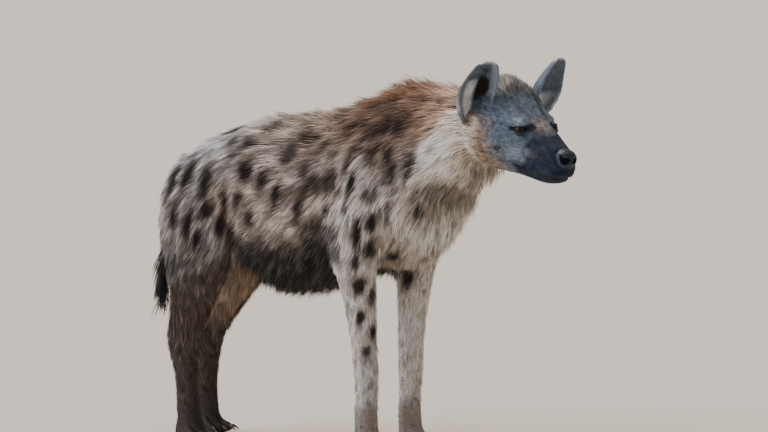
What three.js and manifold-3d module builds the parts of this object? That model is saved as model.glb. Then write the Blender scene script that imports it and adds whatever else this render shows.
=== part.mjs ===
// Spotted hyena standing still with its head up, life size: the closed outer form, out to the coat's tips.
// Millimetres. +X is the way the trunk faces, +Y is the animal's left, +Z is up, the paws stand on Z = 0.

import * as THREE from 'three';
import { mergeVertices } from 'three/addons/utils/BufferGeometryUtils.js';
import Module from 'manifold-3d';

const wasm = await Module();
wasm.setup();

// Driving sizes
const CROUP = 680; // top of the hips, which stand lower than the shoulders
const MANE = 815; // top of the raised hair over the shoulders
const BRISKET = 398; // underside of the chest
const ELBOW = 425;
const WRIST = 118; // where the forearm meets the forepaw
const STIFLE = 385;
const HOCK = 205;
const ANKLE = 78; // where the rear pastern meets the hind paw
const PAW_SPACING = 134; // between the middles of a pair of paws
const FORE_PAW_X = 200;
const HIND_PAW_X = -338;
const LEFT_HIND_STEP = -82; // the left hind foot stands this much further back
const EYES = new THREE.Vector3(626, -24, 716); // midway between the eyeballs
const HEAD_TURN = -8; // degrees the face is turned from the way the trunk faces, towards the right
const EYE_SPACING = 86;
const EYE_RADIUS = 13;
const EAR_HEIGHT = 125;
const EAR_SPACING = 158;
const EAR_TURN = { right: -40, left: 18 }; // degrees each ear's opening is turned from where the face looks
const EAR_SPREAD = { right: 1, left: 1.22 }; // the left ear's inner half is wider
const EAR_DRIFT = { right: 1, left: -0.7 }; // the right ear's tip is drawn inwards, the left one's outwards
const CLAW_LENGTH = 17;
const GAP = 0.4; // air between neighbouring solids

const RIGHT = -1;
const LEFT = 1;
const SIDES = { right: RIGHT, left: LEFT };
const HALF_SPACING = PAW_SPACING / 2;

const at = (x, y, z) => new THREE.Vector3(x, y, z);
const degrees = THREE.MathUtils.degToRad;
const lerp = THREE.MathUtils.lerp;
const smooth = THREE.MathUtils.smoothstep;
const X = at(1, 0, 0);
const Y = at(0, 1, 0);
const Z = at(0, 0, 1);

// A smooth curve through every size that the stations name, with t from 0 at the first to 1 at the last.
function between(stations, t) {
  const place = t * (stations.length - 1);
  const first = Math.min(Math.floor(place), stations.length - 2);
  const share = place - first;
  const near = (step) => stations[THREE.MathUtils.clamp(first + step, 0, stations.length - 1)];
  const sizes = {};
  for (const key of Object.keys(stations[0])) {
    const [a, b, c, d] = [-1, 0, 1, 2].map((step) => near(step)[key]);
    const bend = 2 * a - 5 * b + 4 * c - d;
    const turn = 3 * (b - c) + d - a;
    sizes[key] = b + 0.5 * share * (c - a + share * (bend + share * turn));
  }
  return sizes;
}

// An oval of points: power 2 is an ellipse and more is squarer.
function oval({ centre, across, up, half, above, below, power = 2, count }) {
  const bow = (value) => Math.sign(value) * Math.abs(value) ** (2 / power);
  return Array.from({ length: count }, (_, index) => {
    const angle = (2 * Math.PI * index) / count;
    const rise = bow(Math.sin(angle));
    return centre
      .clone()
      .addScaledVector(across, half * bow(Math.cos(angle)))
      .addScaledVector(up, rise * (rise > 0 ? above : below));
  });
}

const ovalSizes = ([half, above, below], power, count) => ({ half, above, below, power, count });

// Muscles and hollows: each pushes nearby points away from the middle of their ring, or towards it.
function swell(ring, centre, swellings) {
  return ring.map((point) => {
    const outward = point.clone().sub(centre).normalize();
    const push = swellings.reduce((sum, { place, reach, amount }) => {
      return sum + amount * Math.exp(-place.distanceToSquared(point) / reach ** 2);
    }, 0);
    return point.clone().addScaledVector(outward, push);
  });
}

// A closed skin over a row of rings that all have the same number of points.
function loft(rings) {
  const count = rings[0].length;
  const middle = (ring) => ring.reduce((sum, point) => sum.add(point), at(0, 0, 0)).divideScalar(count);
  const points = [...rings.flat(), middle(rings[0]), middle(rings.at(-1))];
  const [startCap, endCap] = [points.length - 2, points.length - 1];
  const last = (rings.length - 1) * count;
  const faces = [];
  for (let side = 0; side < count; side += 1) {
    const next = (side + 1) % count;
    for (let row = 0; row < last; row += count) {
      faces.push(row + side, row + next, row + count + next);
      faces.push(row + side, row + count + next, row + count + side);
    }
    faces.push(startCap, next, side);
    faces.push(endCap, last + side, last + next);
  }
  const volume = faces.reduce((sum, _, index) => {
    if (index % 3) return sum;
    const [a, b, c] = [0, 1, 2].map((step) => points[faces[index + step]]);
    return sum + a.dot(b.clone().cross(c));
  }, 0);
  const geometry = new THREE.BufferGeometry().setFromPoints(points);
  geometry.setIndex(volume < 0 ? faces.reverse() : faces);
  return solid(geometry);
}

function solid(geometry) {
  const bare = new THREE.BufferGeometry();
  bare.setAttribute('position', geometry.getAttribute('position'));
  bare.setIndex(geometry.index);
  const merged = mergeVertices(bare, 1e-3);
  const mesh = new wasm.Mesh({
    numProp: 3,
    vertProperties: merged.attributes.position.array,
    triVerts: new Uint32Array(merged.index.array),
  });
  return new wasm.Manifold(mesh);
}

// Everything on the side of a plane that the normal points to, starting half a gap away from it.
const REACH = 3000;
function beyond(point, normal) {
  const way = normal.clone().normalize();
  const box = new THREE.BoxGeometry(REACH, REACH, REACH);
  box.applyQuaternion(new THREE.Quaternion().setFromUnitVectors(Z, way));
  const middle = point.clone().addScaledVector(way, (REACH + GAP) / 2);
  box.translate(middle.x, middle.y, middle.z);
  return solid(box);
}

function parted(body, point, normal) {
  const ahead = body.intersect(beyond(point, normal));
  const behind = body.intersect(beyond(point, normal.clone().negate()));
  return [ahead, behind];
}

const largest = (body) => body.decompose().sort((a, b) => b.volume() - a.volume())[0];
const joined = (bodies) => bodies.reduce((sum, body) => sum.add(body));

// Trunk and neck: upright sections from the rump to the nape
const SPINE = [
  { x: -412, y: 0, top: 572, bottom: 500, half: 34, level: 538, power: 2 },
  { x: -394, y: 0, top: 602, bottom: 462, half: 80, level: 535, power: 2 },
  { x: -350, y: 0, top: CROUP - 42, bottom: 432, half: 110, level: 542, power: 2 },
  { x: -290, y: 0, top: CROUP - 4, bottom: 418, half: 126, level: 550, power: 2 },
  { x: -200, y: 0, top: CROUP + 18, bottom: 396, half: 134, level: 552, power: 2.1 },
  { x: -110, y: 0, top: CROUP + 40, bottom: 357, half: 146, level: 545, power: 2.15 },
  { x: -20, y: 0, top: CROUP + 55, bottom: 352, half: 153, level: 535, power: 2.15 },
  { x: 75, y: 0, top: CROUP + 70, bottom: 380, half: 153, level: 540, power: 2.15 },
  { x: 160, y: 0, top: MANE - 34, bottom: BRISKET - 6, half: 144, level: 550, power: 2 },
  { x: 235, y: 0, top: MANE - 3, bottom: BRISKET, half: 135, level: 562, power: 1.9 },
  { x: 305, y: 0, top: MANE + 2, bottom: BRISKET + 26, half: 122, level: 592, power: 1.9 },
  { x: 358, y: -1, top: MANE - 1, bottom: BRISKET + 92, half: 102, level: 632, power: 1.85 },
  { x: 395, y: -3, top: MANE - 4, bottom: 552, half: 94, level: 664, power: 1.85 },
  { x: 435, y: -6, top: MANE - 5, bottom: 580, half: 89, level: 686, power: 1.9 },
  { x: 482, y: -10, top: MANE + 2, bottom: 606, half: 88, level: 702, power: 1.95 },
  { x: 530, y: -15, top: MANE + 15, bottom: 638, half: 86, level: 714, power: 2 },
  { x: 572, y: -19, top: MANE + 8, bottom: 664, half: 60, level: 732, power: 2 },
];
const SPINE_SWELLINGS = [RIGHT, LEFT].flatMap((side) => [
  { place: at(215, side * 128, 650), reach: 95, amount: 14 }, // shoulder blade
  { place: at(-290, side * 118, 610), reach: 90, amount: 10 }, // hip
  { place: at(-205, side * 132, 470), reach: 62, amount: -8 }, // flank hollow
]);
const SPINE_RINGS = 23;
const SPINE_POINTS = 21;

function spine(grow) {
  const rings = Array.from({ length: SPINE_RINGS + 1 }, (_, index) => {
    const { x, y, top, bottom, half, level, power } = between(SPINE, index / SPINE_RINGS);
    const centre = at(x, y, level);
    const sizes = [half, top - level, level - bottom].map((size) => size + grow);
    const ring = oval({ centre, across: Y, up: Z, ...ovalSizes(sizes, power, SPINE_POINTS) });
    return swell(ring, centre, SPINE_SWELLINGS);
  });
  return loft(rings);
}

// Head: sections across the face, placed from the midpoint of the eyes, u forwards, v left and w up
const FACE = new THREE.Matrix4().makeRotationZ(degrees(HEAD_TURN)).setPosition(EYES);
const onFace = (u, v, w) => at(u, v, w).applyMatrix4(FACE);
const faceWay = (u, v, w) => at(u, v, w).transformDirection(FACE);

const SKULL = [
  { u: -176, top: 52, bottom: -50, half: 50, level: 2, power: 2 },
  { u: -152, top: 90, bottom: -72, half: 80, level: -2, power: 2 },
  { u: -116, top: 106, bottom: -86, half: 91, level: -10, power: 2.05 },
  { u: -77, top: 99, bottom: -92, half: 94, level: -18, power: 2.1 },
  { u: -41, top: 73, bottom: -95, half: 86, level: -24, power: 2.15 },
  { u: -10, top: 43, bottom: -100, half: 69, level: -28, power: 2.2 },
  { u: 18, top: 19, bottom: -106, half: 53, level: -46, power: 2.3 },
  { u: 46, top: -4, bottom: -110, half: 43, level: -58, power: 2.45 },
  { u: 72, top: -22, bottom: -109, half: 36, level: -64, power: 2.4 },
  { u: 87, top: -31, bottom: -101, half: 30, level: -64, power: 2.25 },
  { u: 98, top: -38, bottom: -89, half: 22, level: -62, power: 2.1 },
  { u: 104, top: -48, bottom: -76, half: 10, level: -60, power: 2 },
];
const FACE_SWELLINGS = [RIGHT, LEFT].flatMap((side) => [
  { place: onFace(2, side * 42, 24), reach: 17, amount: 6 }, // brow
  { place: onFace(6, side * 54, -1), reach: 15, amount: -7 }, // eye socket
  { place: onFace(-20, side * 74, -24), reach: 24, amount: 6 }, // cheekbone
  { place: onFace(-66, side * 88, -48), reach: 40, amount: 8 }, // jaw muscle
  { place: onFace(-42, side * 64, 48), reach: 26, amount: -5 }, // temple
  { place: onFace(92, side * 38, -82), reach: 22, amount: 5 }, // whisker pad
]);
const SKULL_RINGS = 20;
const SKULL_POINTS = 22;

function skull(grow) {
  const rings = Array.from({ length: SKULL_RINGS + 1 }, (_, index) => {
    const { u, top, bottom, half, level, power } = between(SKULL, index / SKULL_RINGS);
    const centre = onFace(u, 0, level);
    const across = faceWay(0, 1, 0);
    const sizes = [half, top - level, level - bottom].map((size) => size + grow);
    const ring = oval({ centre, across, up: Z, ...ovalSizes(sizes, power, SKULL_POINTS) });
    return swell(ring, centre, FACE_SWELLINGS);
  });
  return loft(rings);
}

// The closed mouth, from the front of the lips to its corner and on to the angle of the jaw
const LIPS = [at(126, 0, -88), at(99, 0, -90), at(76, 0, -96), at(33, 0, -94)];
const MOUTH = [...LIPS, at(-13, 0, -76), at(-90, 0, -53)];
const JAW_BACK = at(-106, 0, -150);
const JAW_FRONT = at(150, 0, -150);
const JAW_BLOCK_WIDTH = 300; // wider than the head

function jawBlock(shift) {
  const lips = new THREE.CatmullRomCurve3(MOUTH).getPoints(10).map((point) => [point.x, point.z + shift]);
  const backEdge = [JAW_BACK.x - shift, JAW_BACK.z];
  const outline = [...lips.slice(0, -1), [MOUTH.at(-1).x - shift, MOUTH.at(-1).z + shift], backEdge];
  const corners = [...outline, [JAW_FRONT.x, JAW_FRONT.z]];
  const shape = new THREE.Shape(corners.map(([u, w]) => new THREE.Vector2(u, w)));
  const block = new THREE.ExtrudeGeometry(shape, { depth: JAW_BLOCK_WIDTH, bevelEnabled: false });
  block.translate(0, 0, -JAW_BLOCK_WIDTH / 2);
  block.rotateX(Math.PI / 2);
  block.applyMatrix4(FACE);
  return solid(block);
}

// Nose pad: a short rounded block with a nostril hollow on each side
const NOSE = { u: 95, w: -56, half: 26, tall: 20, long: 22 };
const NOSTRIL = { u: 110, v: 16, w: -56, radius: 7 };

function nosePad(grow) {
  const pad = new THREE.SphereGeometry(1, 10, 7);
  pad.scale(NOSE.long + grow, NOSE.half + grow, NOSE.tall + grow);
  pad.translate(NOSE.u, 0, NOSE.w);
  pad.applyMatrix4(FACE);
  return solid(pad);
}

function nostril(side) {
  const hole = new THREE.SphereGeometry(NOSTRIL.radius, 6, 5);
  const place = onFace(NOSTRIL.u, side * NOSTRIL.v, NOSTRIL.w);
  return solid(hole.translate(place.x, place.y, place.z));
}

function eyeball(side, grow) {
  const ball = new THREE.SphereGeometry(EYE_RADIUS + grow, 10, 7);
  const place = onFace(0, (side * EYE_SPACING) / 2, 0);
  return solid(ball.translate(place.x, place.y, place.z));
}

// Ears: rounded cups, open towards the face side. Widths are measured from the ear's spine to each rim.
const EAR = [
  { height: -34, outer: 12, inner: 14, wrap: 120, drift: 0, bow: 4, thick: 9 },
  { height: -6, outer: 31, inner: 22, wrap: 110, drift: 0, bow: 0, thick: 9 },
  { height: 24, outer: 42, inner: 33, wrap: 98, drift: 0, bow: 0, thick: 8 },
  { height: 52, outer: 45, inner: 36, wrap: 86, drift: 1, bow: 3, thick: 7 },
  { height: 80, outer: 39, inner: 35, wrap: 78, drift: 4, bow: 9, thick: 6.5 },
  { height: 104, outer: 30, inner: 30, wrap: 72, drift: 7, bow: 18, thick: 6 },
  { height: 120, outer: 20, inner: 22, wrap: 66, drift: 9, bow: 26, thick: 5.5 },
  { height: EAR_HEIGHT, outer: 10, inner: 11, wrap: 60, drift: 10, bow: 30, thick: 5 },
];
const EAR_ROOT = { u: -104, w: 26 };
const EAR_ROWS = 10;
const EAR_POINTS = 7;
const EAR_SPLAY = 7; // degrees the ears lean outwards
const EAR_PRICK = 22; // degrees they lean forwards
const EAR_BACK = 22; // the spine of an ear lies this far behind its root

function earFrame(name) {
  const side = SIDES[name];
  const face = faceWay(1, 0, 0).applyAxisAngle(Z, degrees(EAR_TURN[name]));
  const medial = face.clone().cross(Z).multiplyScalar(side);
  const prick = Z.clone().addScaledVector(faceWay(1, 0, 0), Math.tan(degrees(EAR_PRICK)));
  const up = prick.addScaledVector(faceWay(0, side, 0), Math.tan(degrees(EAR_SPLAY))).normalize();
  const root = onFace(EAR_ROOT.u, (side * EAR_SPACING) / 2, EAR_ROOT.w).addScaledVector(face, -EAR_BACK);
  return { face, medial, up, root };
}

function ear(name) {
  const { face, medial, up, root } = earFrame(name);
  const rings = Array.from({ length: EAR_ROWS + 1 }, (_, row) => {
    const { height, outer, inner, wrap, drift, bow, thick } = between(EAR, row / EAR_ROWS);
    const layer = (inset) => Array.from({ length: EAR_POINTS }, (_, index) => {
      const share = (2 * index) / (EAR_POINTS - 1) - 1;
      const angle = degrees(wrap) * share;
      const width = (share < 0 ? outer : inner * EAR_SPREAD[name]) / Math.sin(degrees(Math.min(wrap, 90)));
      return root
        .clone()
        .addScaledVector(up, height)
        .addScaledVector(medial, drift * EAR_DRIFT[name] + (width - inset) * Math.sin(angle))
        .addScaledVector(face, bow + width - (width - inset) * Math.cos(angle));
    });
    return [...layer(0), ...layer(thick).reverse()];
  });
  return loft(rings);
}

// An old tear in the top of the right ear, a wedge between two lobes
const TEAR = { across: -4, depth: 15, left: 6, right: 9, long: 160, behind: 60 };

function earTear() {
  const { face, medial, up, root } = earFrame('right');
  const corners = [[-TEAR.left, TEAR.depth], [0, -TEAR.depth], [TEAR.right, TEAR.depth]];
  const wedge = new THREE.Shape(corners.map(([across, rise]) => new THREE.Vector2(across, rise)));
  const cut = new THREE.ExtrudeGeometry(wedge, { depth: TEAR.long, bevelEnabled: false });
  const middle = root
    .addScaledVector(up, EAR_HEIGHT)
    .addScaledVector(medial, TEAR.across)
    .addScaledVector(face, -TEAR.behind);
  cut.applyMatrix4(new THREE.Matrix4().makeBasis(medial, up, face).setPosition(middle));
  return solid(cut);
}

// Legs: level sections from the body down, each with its front and back edge
const FORELEG = [
  { z: 655, front: 262, back: 176, y: 92, half: 44 },
  { z: 600, front: 292, back: 146, y: 100, half: 52 },
  { z: 540, front: 304, back: 122, y: 104, half: 53 },
  { z: 480, front: 276, back: 104, y: 100, half: 50 },
  { z: ELBOW, front: 238, back: 108, y: 93, half: 45 },
  { z: 370, front: 224, back: 130, y: 86, half: 40 },
  { z: 300, front: 217, back: 143, y: 78, half: 35 },
  { z: 230, front: 213, back: 150, y: 71, half: 31 },
  { z: 165, front: 214, back: 155, y: 68, half: 32 },
  { z: WRIST, front: 207, back: 157, y: 67, half: 29 },
  { z: 72, front: 208, back: 156, y: HALF_SPACING, half: 30 },
  { z: 34, front: 214, back: 162, y: HALF_SPACING, half: 30 },
];
const HIND_LEG = [
  { z: 632, front: -262, back: -342, y: 66, half: 36 },
  { z: 590, front: -218, back: -382, y: 78, half: 53 },
  { z: 530, front: -188, back: -402, y: 86, half: 60 },
  { z: 465, front: -174, back: -406, y: 91, half: 57 },
  { z: 415, front: -180, back: -400, y: 91, half: 51 },
  { z: 365, front: -204, back: -390, y: 87, half: 45 },
  { z: 315, front: -240, back: -386, y: 82, half: 39 },
  { z: 265, front: -278, back: -396, y: 76, half: 33 },
  { z: 225, front: -304, back: -410, y: 71, half: 30 },
  { z: 188, front: -318, back: -400, y: 69, half: 29 },
  { z: 145, front: -320, back: -386, y: 67, half: 27 },
  { z: 90, front: -320, back: -380, y: HALF_SPACING, half: 27 },
  { z: 36, front: -312, back: -372, y: HALF_SPACING, half: 29 },
];
const LEG_RINGS = 13;
const LEG_POINTS = 10;

// The left hind leg reaches back: all of the step at the paw, less of it up the leg and none at the hip.
function hindStep(side, z) {
  if (side === RIGHT) return 0;
  return LEFT_HIND_STEP * lerp(1, 0.6, smooth(z, 0, 400)) * (1 - smooth(z, 400, 630));
}

function leg(stations, side, grow, step = () => 0) {
  const rings = Array.from({ length: LEG_RINGS + 1 }, (_, index) => {
    const { z, front, back, y, half } = between(stations, index / LEG_RINGS);
    const centre = at((front + back) / 2 + step(side, z), side * y, z);
    const reach = (front - back) / 2 + grow;
    const size = { half: half + grow, above: reach, below: reach, power: 2.1, count: LEG_POINTS };
    return oval({ centre, across: Y, up: X, ...size });
  });
  return loft(rings);
}

// Paws: sections from heel to toes over a flat pad, then four toes with a blunt claw each
const PAW = [
  { x: -44, top: 40, half: 14 },
  { x: -38, top: 60, half: 26 },
  { x: -16, top: 66, half: 33 },
  { x: 10, top: 58, half: 37 },
  { x: 30, top: 44, half: 38 },
  { x: 42, top: 28, half: 30 },
];
const PAW_LEVEL = 14; // height of the middle of each section
const PAW_DEPTH = 17; // reaches under the ground, where the paw is cut flat
const PAW_RINGS = 4;
const PAW_POINTS = 10;
const TOES = [
  { y: -30, x: 32, turn: -16 },
  { y: -11, x: 45, turn: -5 },
  { y: 11, x: 45, turn: 5 },
  { y: 30, x: 32, turn: 16 },
];
const TOE = { long: 25, half: 12.5, tall: 17, height: 15 };
const CLAW_SEAT = { height: 18, inside: 5 }; // where a claw leaves its toe
const CLAW = [
  { reach: -5, drop: -2, radius: 4.2 },
  { reach: 7, drop: 3, radius: 3.2 },
  { reach: CLAW_LENGTH, drop: 11, radius: 0.9 },
];

function pad(place, scale) {
  const rings = Array.from({ length: PAW_RINGS + 1 }, (_, index) => {
    const { x, top, half } = between(PAW, index / PAW_RINGS);
    const centre = place.clone().add(at(x * scale, 0, PAW_LEVEL));
    const sizes = [half * scale, top * scale - PAW_LEVEL, PAW_DEPTH];
    return oval({ centre, across: Y, up: Z, ...ovalSizes(sizes, 2.5, PAW_POINTS) });
  });
  return loft(rings);
}

function toe({ x, y, turn }, place, scale) {
  const form = new THREE.SphereGeometry(1, 6, 4);
  form.scale(TOE.long * scale, TOE.half * scale, TOE.tall * scale);
  form.rotateZ(degrees(turn));
  form.translate(place.x + x * scale, place.y + y * scale, TOE.height * scale);
  return solid(form);
}

function claw({ x, y, turn }, place, scale, grow) {
  const way = X.clone().applyAxisAngle(Z, degrees(turn));
  const across = way.clone().cross(Z);
  const root = place
    .clone()
    .add(at(x * scale, y * scale, CLAW_SEAT.height * scale))
    .addScaledVector(way, (TOE.long - CLAW_SEAT.inside) * scale);
  const rings = CLAW.map(({ reach, drop, radius }) => {
    const centre = root.clone().addScaledVector(way, reach * scale).addScaledVector(Z, -drop * scale);
    const size = radius * scale + grow;
    return oval({ centre, across, up: Z, half: size * 0.8, above: size, below: size, count: 5 });
  });
  return loft(rings);
}

// Tail: level sections, hanging close behind the thighs and ending in a long tuft
const TAIL = [
  { z: 612, x: -392, y: 0, deep: 26, half: 26 },
  { z: 580, x: -416, y: 0, deep: 26, half: 25 },
  { z: 530, x: -438, y: -5, deep: 22, half: 21 },
  { z: 470, x: -446, y: -16, deep: 21, half: 20 },
  { z: 420, x: -447, y: -28, deep: 25, half: 24 },
  { z: 370, x: -446, y: -38, deep: 27, half: 26 },
  { z: 325, x: -443, y: -46, deep: 20, half: 19 },
  { z: 292, x: -440, y: -50, deep: 5, half: 5 },
];
const TAIL_RINGS = 10;
const TUFT_START = 432;

function tail(grow) {
  const rings = Array.from({ length: TAIL_RINGS + 1 }, (_, index) => {
    const { z, x, y, deep, half } = between(TAIL, index / TAIL_RINGS);
    const size = { half: half + grow, above: deep + grow, below: deep + grow, count: 10 };
    return oval({ centre: at(x, y, z), across: Y, up: X, ...size });
  });
  return loft(rings);
}

// Colours of the coat and the bare parts
const FINISH = {
  buff: new THREE.MeshStandardMaterial({ color: '#9a8468', roughness: 0.9, metalness: 0 }),
  grey: new THREE.MeshStandardMaterial({ color: '#6f6a66', roughness: 0.85, metalness: 0 }),
  dark: new THREE.MeshStandardMaterial({ color: '#2d2622', roughness: 0.85, metalness: 0 }),
  nose: new THREE.MeshStandardMaterial({ color: '#1b1c20', roughness: 0.45, metalness: 0 }),
  eye: new THREE.MeshStandardMaterial({ color: '#3a2012', roughness: 0.1, metalness: 0 }),
  claw: new THREE.MeshStandardMaterial({ color: '#3b352e', roughness: 0.5, metalness: 0 }),
};

const group = new THREE.Group();
const body = new THREE.Group();
group.add(body);

function keep(name, part, finish) {
  const { vertProperties, triVerts, numProp } = part.getMesh();
  const geometry = new THREE.BufferGeometry();
  geometry.setAttribute('position', new THREE.BufferAttribute(new Float32Array(vertProperties), numProp));
  geometry.setIndex(new THREE.BufferAttribute(new Uint32Array(triVerts), 1));
  geometry.computeVertexNormals();
  const mesh = new THREE.Mesh(geometry, FINISH[finish]);
  mesh.name = name;
  body.add(mesh);
}

// Each paw and its claws, with the end of its leg melted into it
function makePaw(name, shin, place, scale, cut) {
  const toes = TOES.map((spec) => toe(spec, place, scale));
  const whole = joined([pad(place, scale), shin, ...toes]).intersect(beyond(at(0, 0, -GAP / 2), Z));
  const [, below] = parted(whole, at(0, 0, cut), Z);
  const beds = joined(TOES.map((spec) => claw(spec, place, scale, GAP)));
  keep(name, below.subtract(beds), 'grey');
  TOES.forEach((spec, index) => keep(`claw_${name}_${index + 1}`, claw(spec, place, scale, 0), 'claw'));
}

const NECK_CUT = { point: at(338, 0, 680), normal: at(1, 0, 0.36) };
const NAPE_CUT = { point: onFace(-138, 0, 0), normal: faceWay(1, 0, 0.1) };
const HIND_SCALE = 0.9;

function makeForeleg(name, side) {
  const [upper, lower] = parted(leg(FORELEG, side, 0), at(0, 0, ELBOW), Z);
  const [forearm] = parted(lower, at(0, 0, WRIST), Z);
  keep(`foreleg_upper_${name}`, upper, 'buff');
  keep(`forearm_${name}`, forearm, 'buff');
  makePaw(`forepaw_${name}`, lower, at(FORE_PAW_X, side * HALF_SPACING, 0), 1, WRIST);
}

function makeHindLeg(name, side) {
  const shift = hindStep(side, STIFLE);
  const knee = at(-290 + shift, 0, STIFLE);
  const [thigh, below] = parted(leg(HIND_LEG, side, 0, hindStep), knee, at(-0.35, 0, 1));
  const hock = at(-350 + hindStep(side, HOCK), 0, HOCK);
  const [shank, foot] = parted(below, hock, at(0.35, 0, 1));
  const [pastern] = parted(foot, at(0, 0, ANKLE), Z);
  keep(`thigh_${name}`, thigh, 'buff');
  keep(`shank_${name}`, shank, 'dark');
  keep(`rear_pastern_${name}`, pastern, 'dark');
  const place = at(HIND_PAW_X + hindStep(side, 0), side * HALF_SPACING, 0);
  makePaw(`hindpaw_${name}`, foot, place, HIND_SCALE, ANKLE);
}

const [neckWhole, trunkWhole] = parted(spine(0), NECK_CUT.point, NECK_CUT.normal);
const [headWhole] = parted(skull(0), NAPE_CUT.point, NAPE_CUT.normal);
const [, neck] = parted(neckWhole, NAPE_CUT.point, NAPE_CUT.normal);
const shoulders = joined([RIGHT, LEFT].map((side) => leg(FORELEG, side, GAP)));
const haunches = joined([RIGHT, LEFT].map((side) => leg(HIND_LEG, side, GAP, hindStep)));

keep('trunk', trunkWhole.subtract(shoulders).subtract(haunches).subtract(tail(GAP)), 'buff');
keep('neck', neck.subtract(shoulders), 'buff');

const [tailStem, tuft] = parted(tail(0), at(0, 0, TUFT_START), Z);
keep('tail', tailStem.subtract(haunches), 'buff');
keep('tail_tuft', tuft, 'dark');

const sockets = joined([RIGHT, LEFT].map((side) => eyeball(side, GAP)));
const face = headWhole.subtract(sockets).subtract(nosePad(GAP));
const earBed = skull(GAP).add(spine(GAP));
keep('head', face.subtract(jawBlock(GAP / 2)), 'grey');
keep('lower_jaw', face.intersect(jawBlock(-GAP / 2)), 'grey');
keep('nose_pad', nosePad(0).subtract(nostril(RIGHT)).subtract(nostril(LEFT)), 'nose');

for (const [name, side] of Object.entries(SIDES)) {
  const cup = largest(ear(name).subtract(earBed));
  keep(`ear_${name}`, side === RIGHT ? cup.subtract(earTear()) : cup, 'grey');
  keep(`eye_${name}`, eyeball(side, 0), 'eye');
  makeForeleg(name, side);
  makeHindLeg(name, side);
}

// The origin is under the middle of the whole animal, on the ground.
const box = new THREE.Box3().setFromObject(body);
const centre = box.getCenter(at(0, 0, 0));
body.position.set(-centre.x, -centre.y, -box.min.z);

export default group;
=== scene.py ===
# A grown spotted hyena standing still, life size: one skin, its coat, eyes and claws.
# Metres. The trunk faces +X, the animal's left is +Y and up is +Z. Sizes in mm are turned by MM.

import math

import bmesh
import bpy
import numpy as np
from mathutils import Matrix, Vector
from mathutils.bvhtree import BVHTree
from mathutils.kdtree import KDTree


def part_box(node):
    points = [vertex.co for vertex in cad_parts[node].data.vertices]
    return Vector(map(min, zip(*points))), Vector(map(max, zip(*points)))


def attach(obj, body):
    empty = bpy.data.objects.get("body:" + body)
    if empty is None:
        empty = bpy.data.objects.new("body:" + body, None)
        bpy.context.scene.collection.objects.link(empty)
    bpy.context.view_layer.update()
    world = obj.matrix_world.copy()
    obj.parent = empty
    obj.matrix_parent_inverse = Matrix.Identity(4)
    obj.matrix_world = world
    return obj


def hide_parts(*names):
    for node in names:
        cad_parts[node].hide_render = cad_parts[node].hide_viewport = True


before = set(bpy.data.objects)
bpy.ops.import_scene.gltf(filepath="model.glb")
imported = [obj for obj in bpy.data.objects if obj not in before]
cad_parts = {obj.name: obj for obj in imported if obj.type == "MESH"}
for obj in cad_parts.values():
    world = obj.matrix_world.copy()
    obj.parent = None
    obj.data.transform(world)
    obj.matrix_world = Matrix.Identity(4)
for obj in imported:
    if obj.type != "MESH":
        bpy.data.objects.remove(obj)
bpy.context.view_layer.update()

MM = 0.001
SEED = 11
rng = np.random.default_rng(SEED)
SIDES = (("right", -1), ("left", 1))


# Small helpers for rows of points


def unit(vectors):
    return vectors / np.maximum(np.linalg.norm(vectors, axis=-1, keepdims=True), 1e-9)


def ease(value, start, end):
    """0 before start and 1 past end, with a soft step between them."""
    share = np.clip((value - start) / (end - start), 0, 1)
    return share * share * (3 - 2 * share)


def band(value, start, end, soft):
    """1 between start and end, fading to 0 over the soft distance on either side."""
    return ease(value, start - soft, start) * (1 - ease(value, end, end + soft))


def hill(distance, reach):
    return np.exp(-((distance / reach) ** 2))


def mixed(first, second, share):
    share = np.asarray(share)[..., None]
    return first * (1 - share) + second * share


def along_surface(vectors, normals):
    """The vectors laid flat on the surface."""
    return unit(vectors - normals * np.sum(vectors * normals, axis=1, keepdims=True))


def ripple(points, size, seed):
    """A smooth random wave from -1 to 1 whose swells are about size metres long."""
    waves = np.random.default_rng(seed)
    total = np.zeros(len(points))
    for _ in range(6):
        way = unit(waves.normal(size=3)) * waves.uniform(0.7, 1.5)
        total += np.sin(points @ way * (2 * math.pi / size) + waves.uniform(0, 6.3))
    return total / 3


def linear(code):
    """An sRGB hex colour as linear red, green and blue."""
    parts = np.array([int(code[i : i + 2], 16) for i in (1, 3, 5)]) / 255
    return np.where(parts <= 0.04045, parts / 12.92, ((parts + 0.055) / 1.055) ** 2.4)


# Small helpers for meshes and objects


def finished(shape, name):
    """The mesh of a shape that is complete."""
    mesh = bpy.data.meshes.new(name)
    shape.to_mesh(mesh)
    shape.free()
    return mesh


def linked(name, data):
    """A new object in the scene, at the origin."""
    thing = bpy.data.objects.new(name, data)
    bpy.context.scene.collection.objects.link(thing)
    return thing


# The head's own directions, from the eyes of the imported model


def middle(node):
    low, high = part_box(node)
    return np.array((low + high) / 2)


RIGHT_EYE = middle("eye_right")
LEFT_EYE = middle("eye_left")
EYES = (RIGHT_EYE + LEFT_EYE) / 2
BOTH_EYES = ((RIGHT_EYE, -1), (LEFT_EYE, 1))  # each with its side
UP = np.array([0.0, 0.0, 1.0])
LEFTWARD = unit(LEFT_EYE - RIGHT_EYE)
AHEAD = np.cross(LEFTWARD, UP)
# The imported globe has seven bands, so its widest ring is a little narrower than the true globe
EYE_RADIUS = (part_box("eye_right")[1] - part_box("eye_right")[0]).z / 2 / math.cos(math.pi / 14)


def on_head(points):
    """How far points are ahead of the eyes, left of the middle and above the eyes, in mm."""
    offset = (points - EYES) / MM
    return offset @ AHEAD, offset @ LEFTWARD, offset @ UP


# Skin: the flesh solids melted into one, smoothed, and drawn in under the coat

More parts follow.
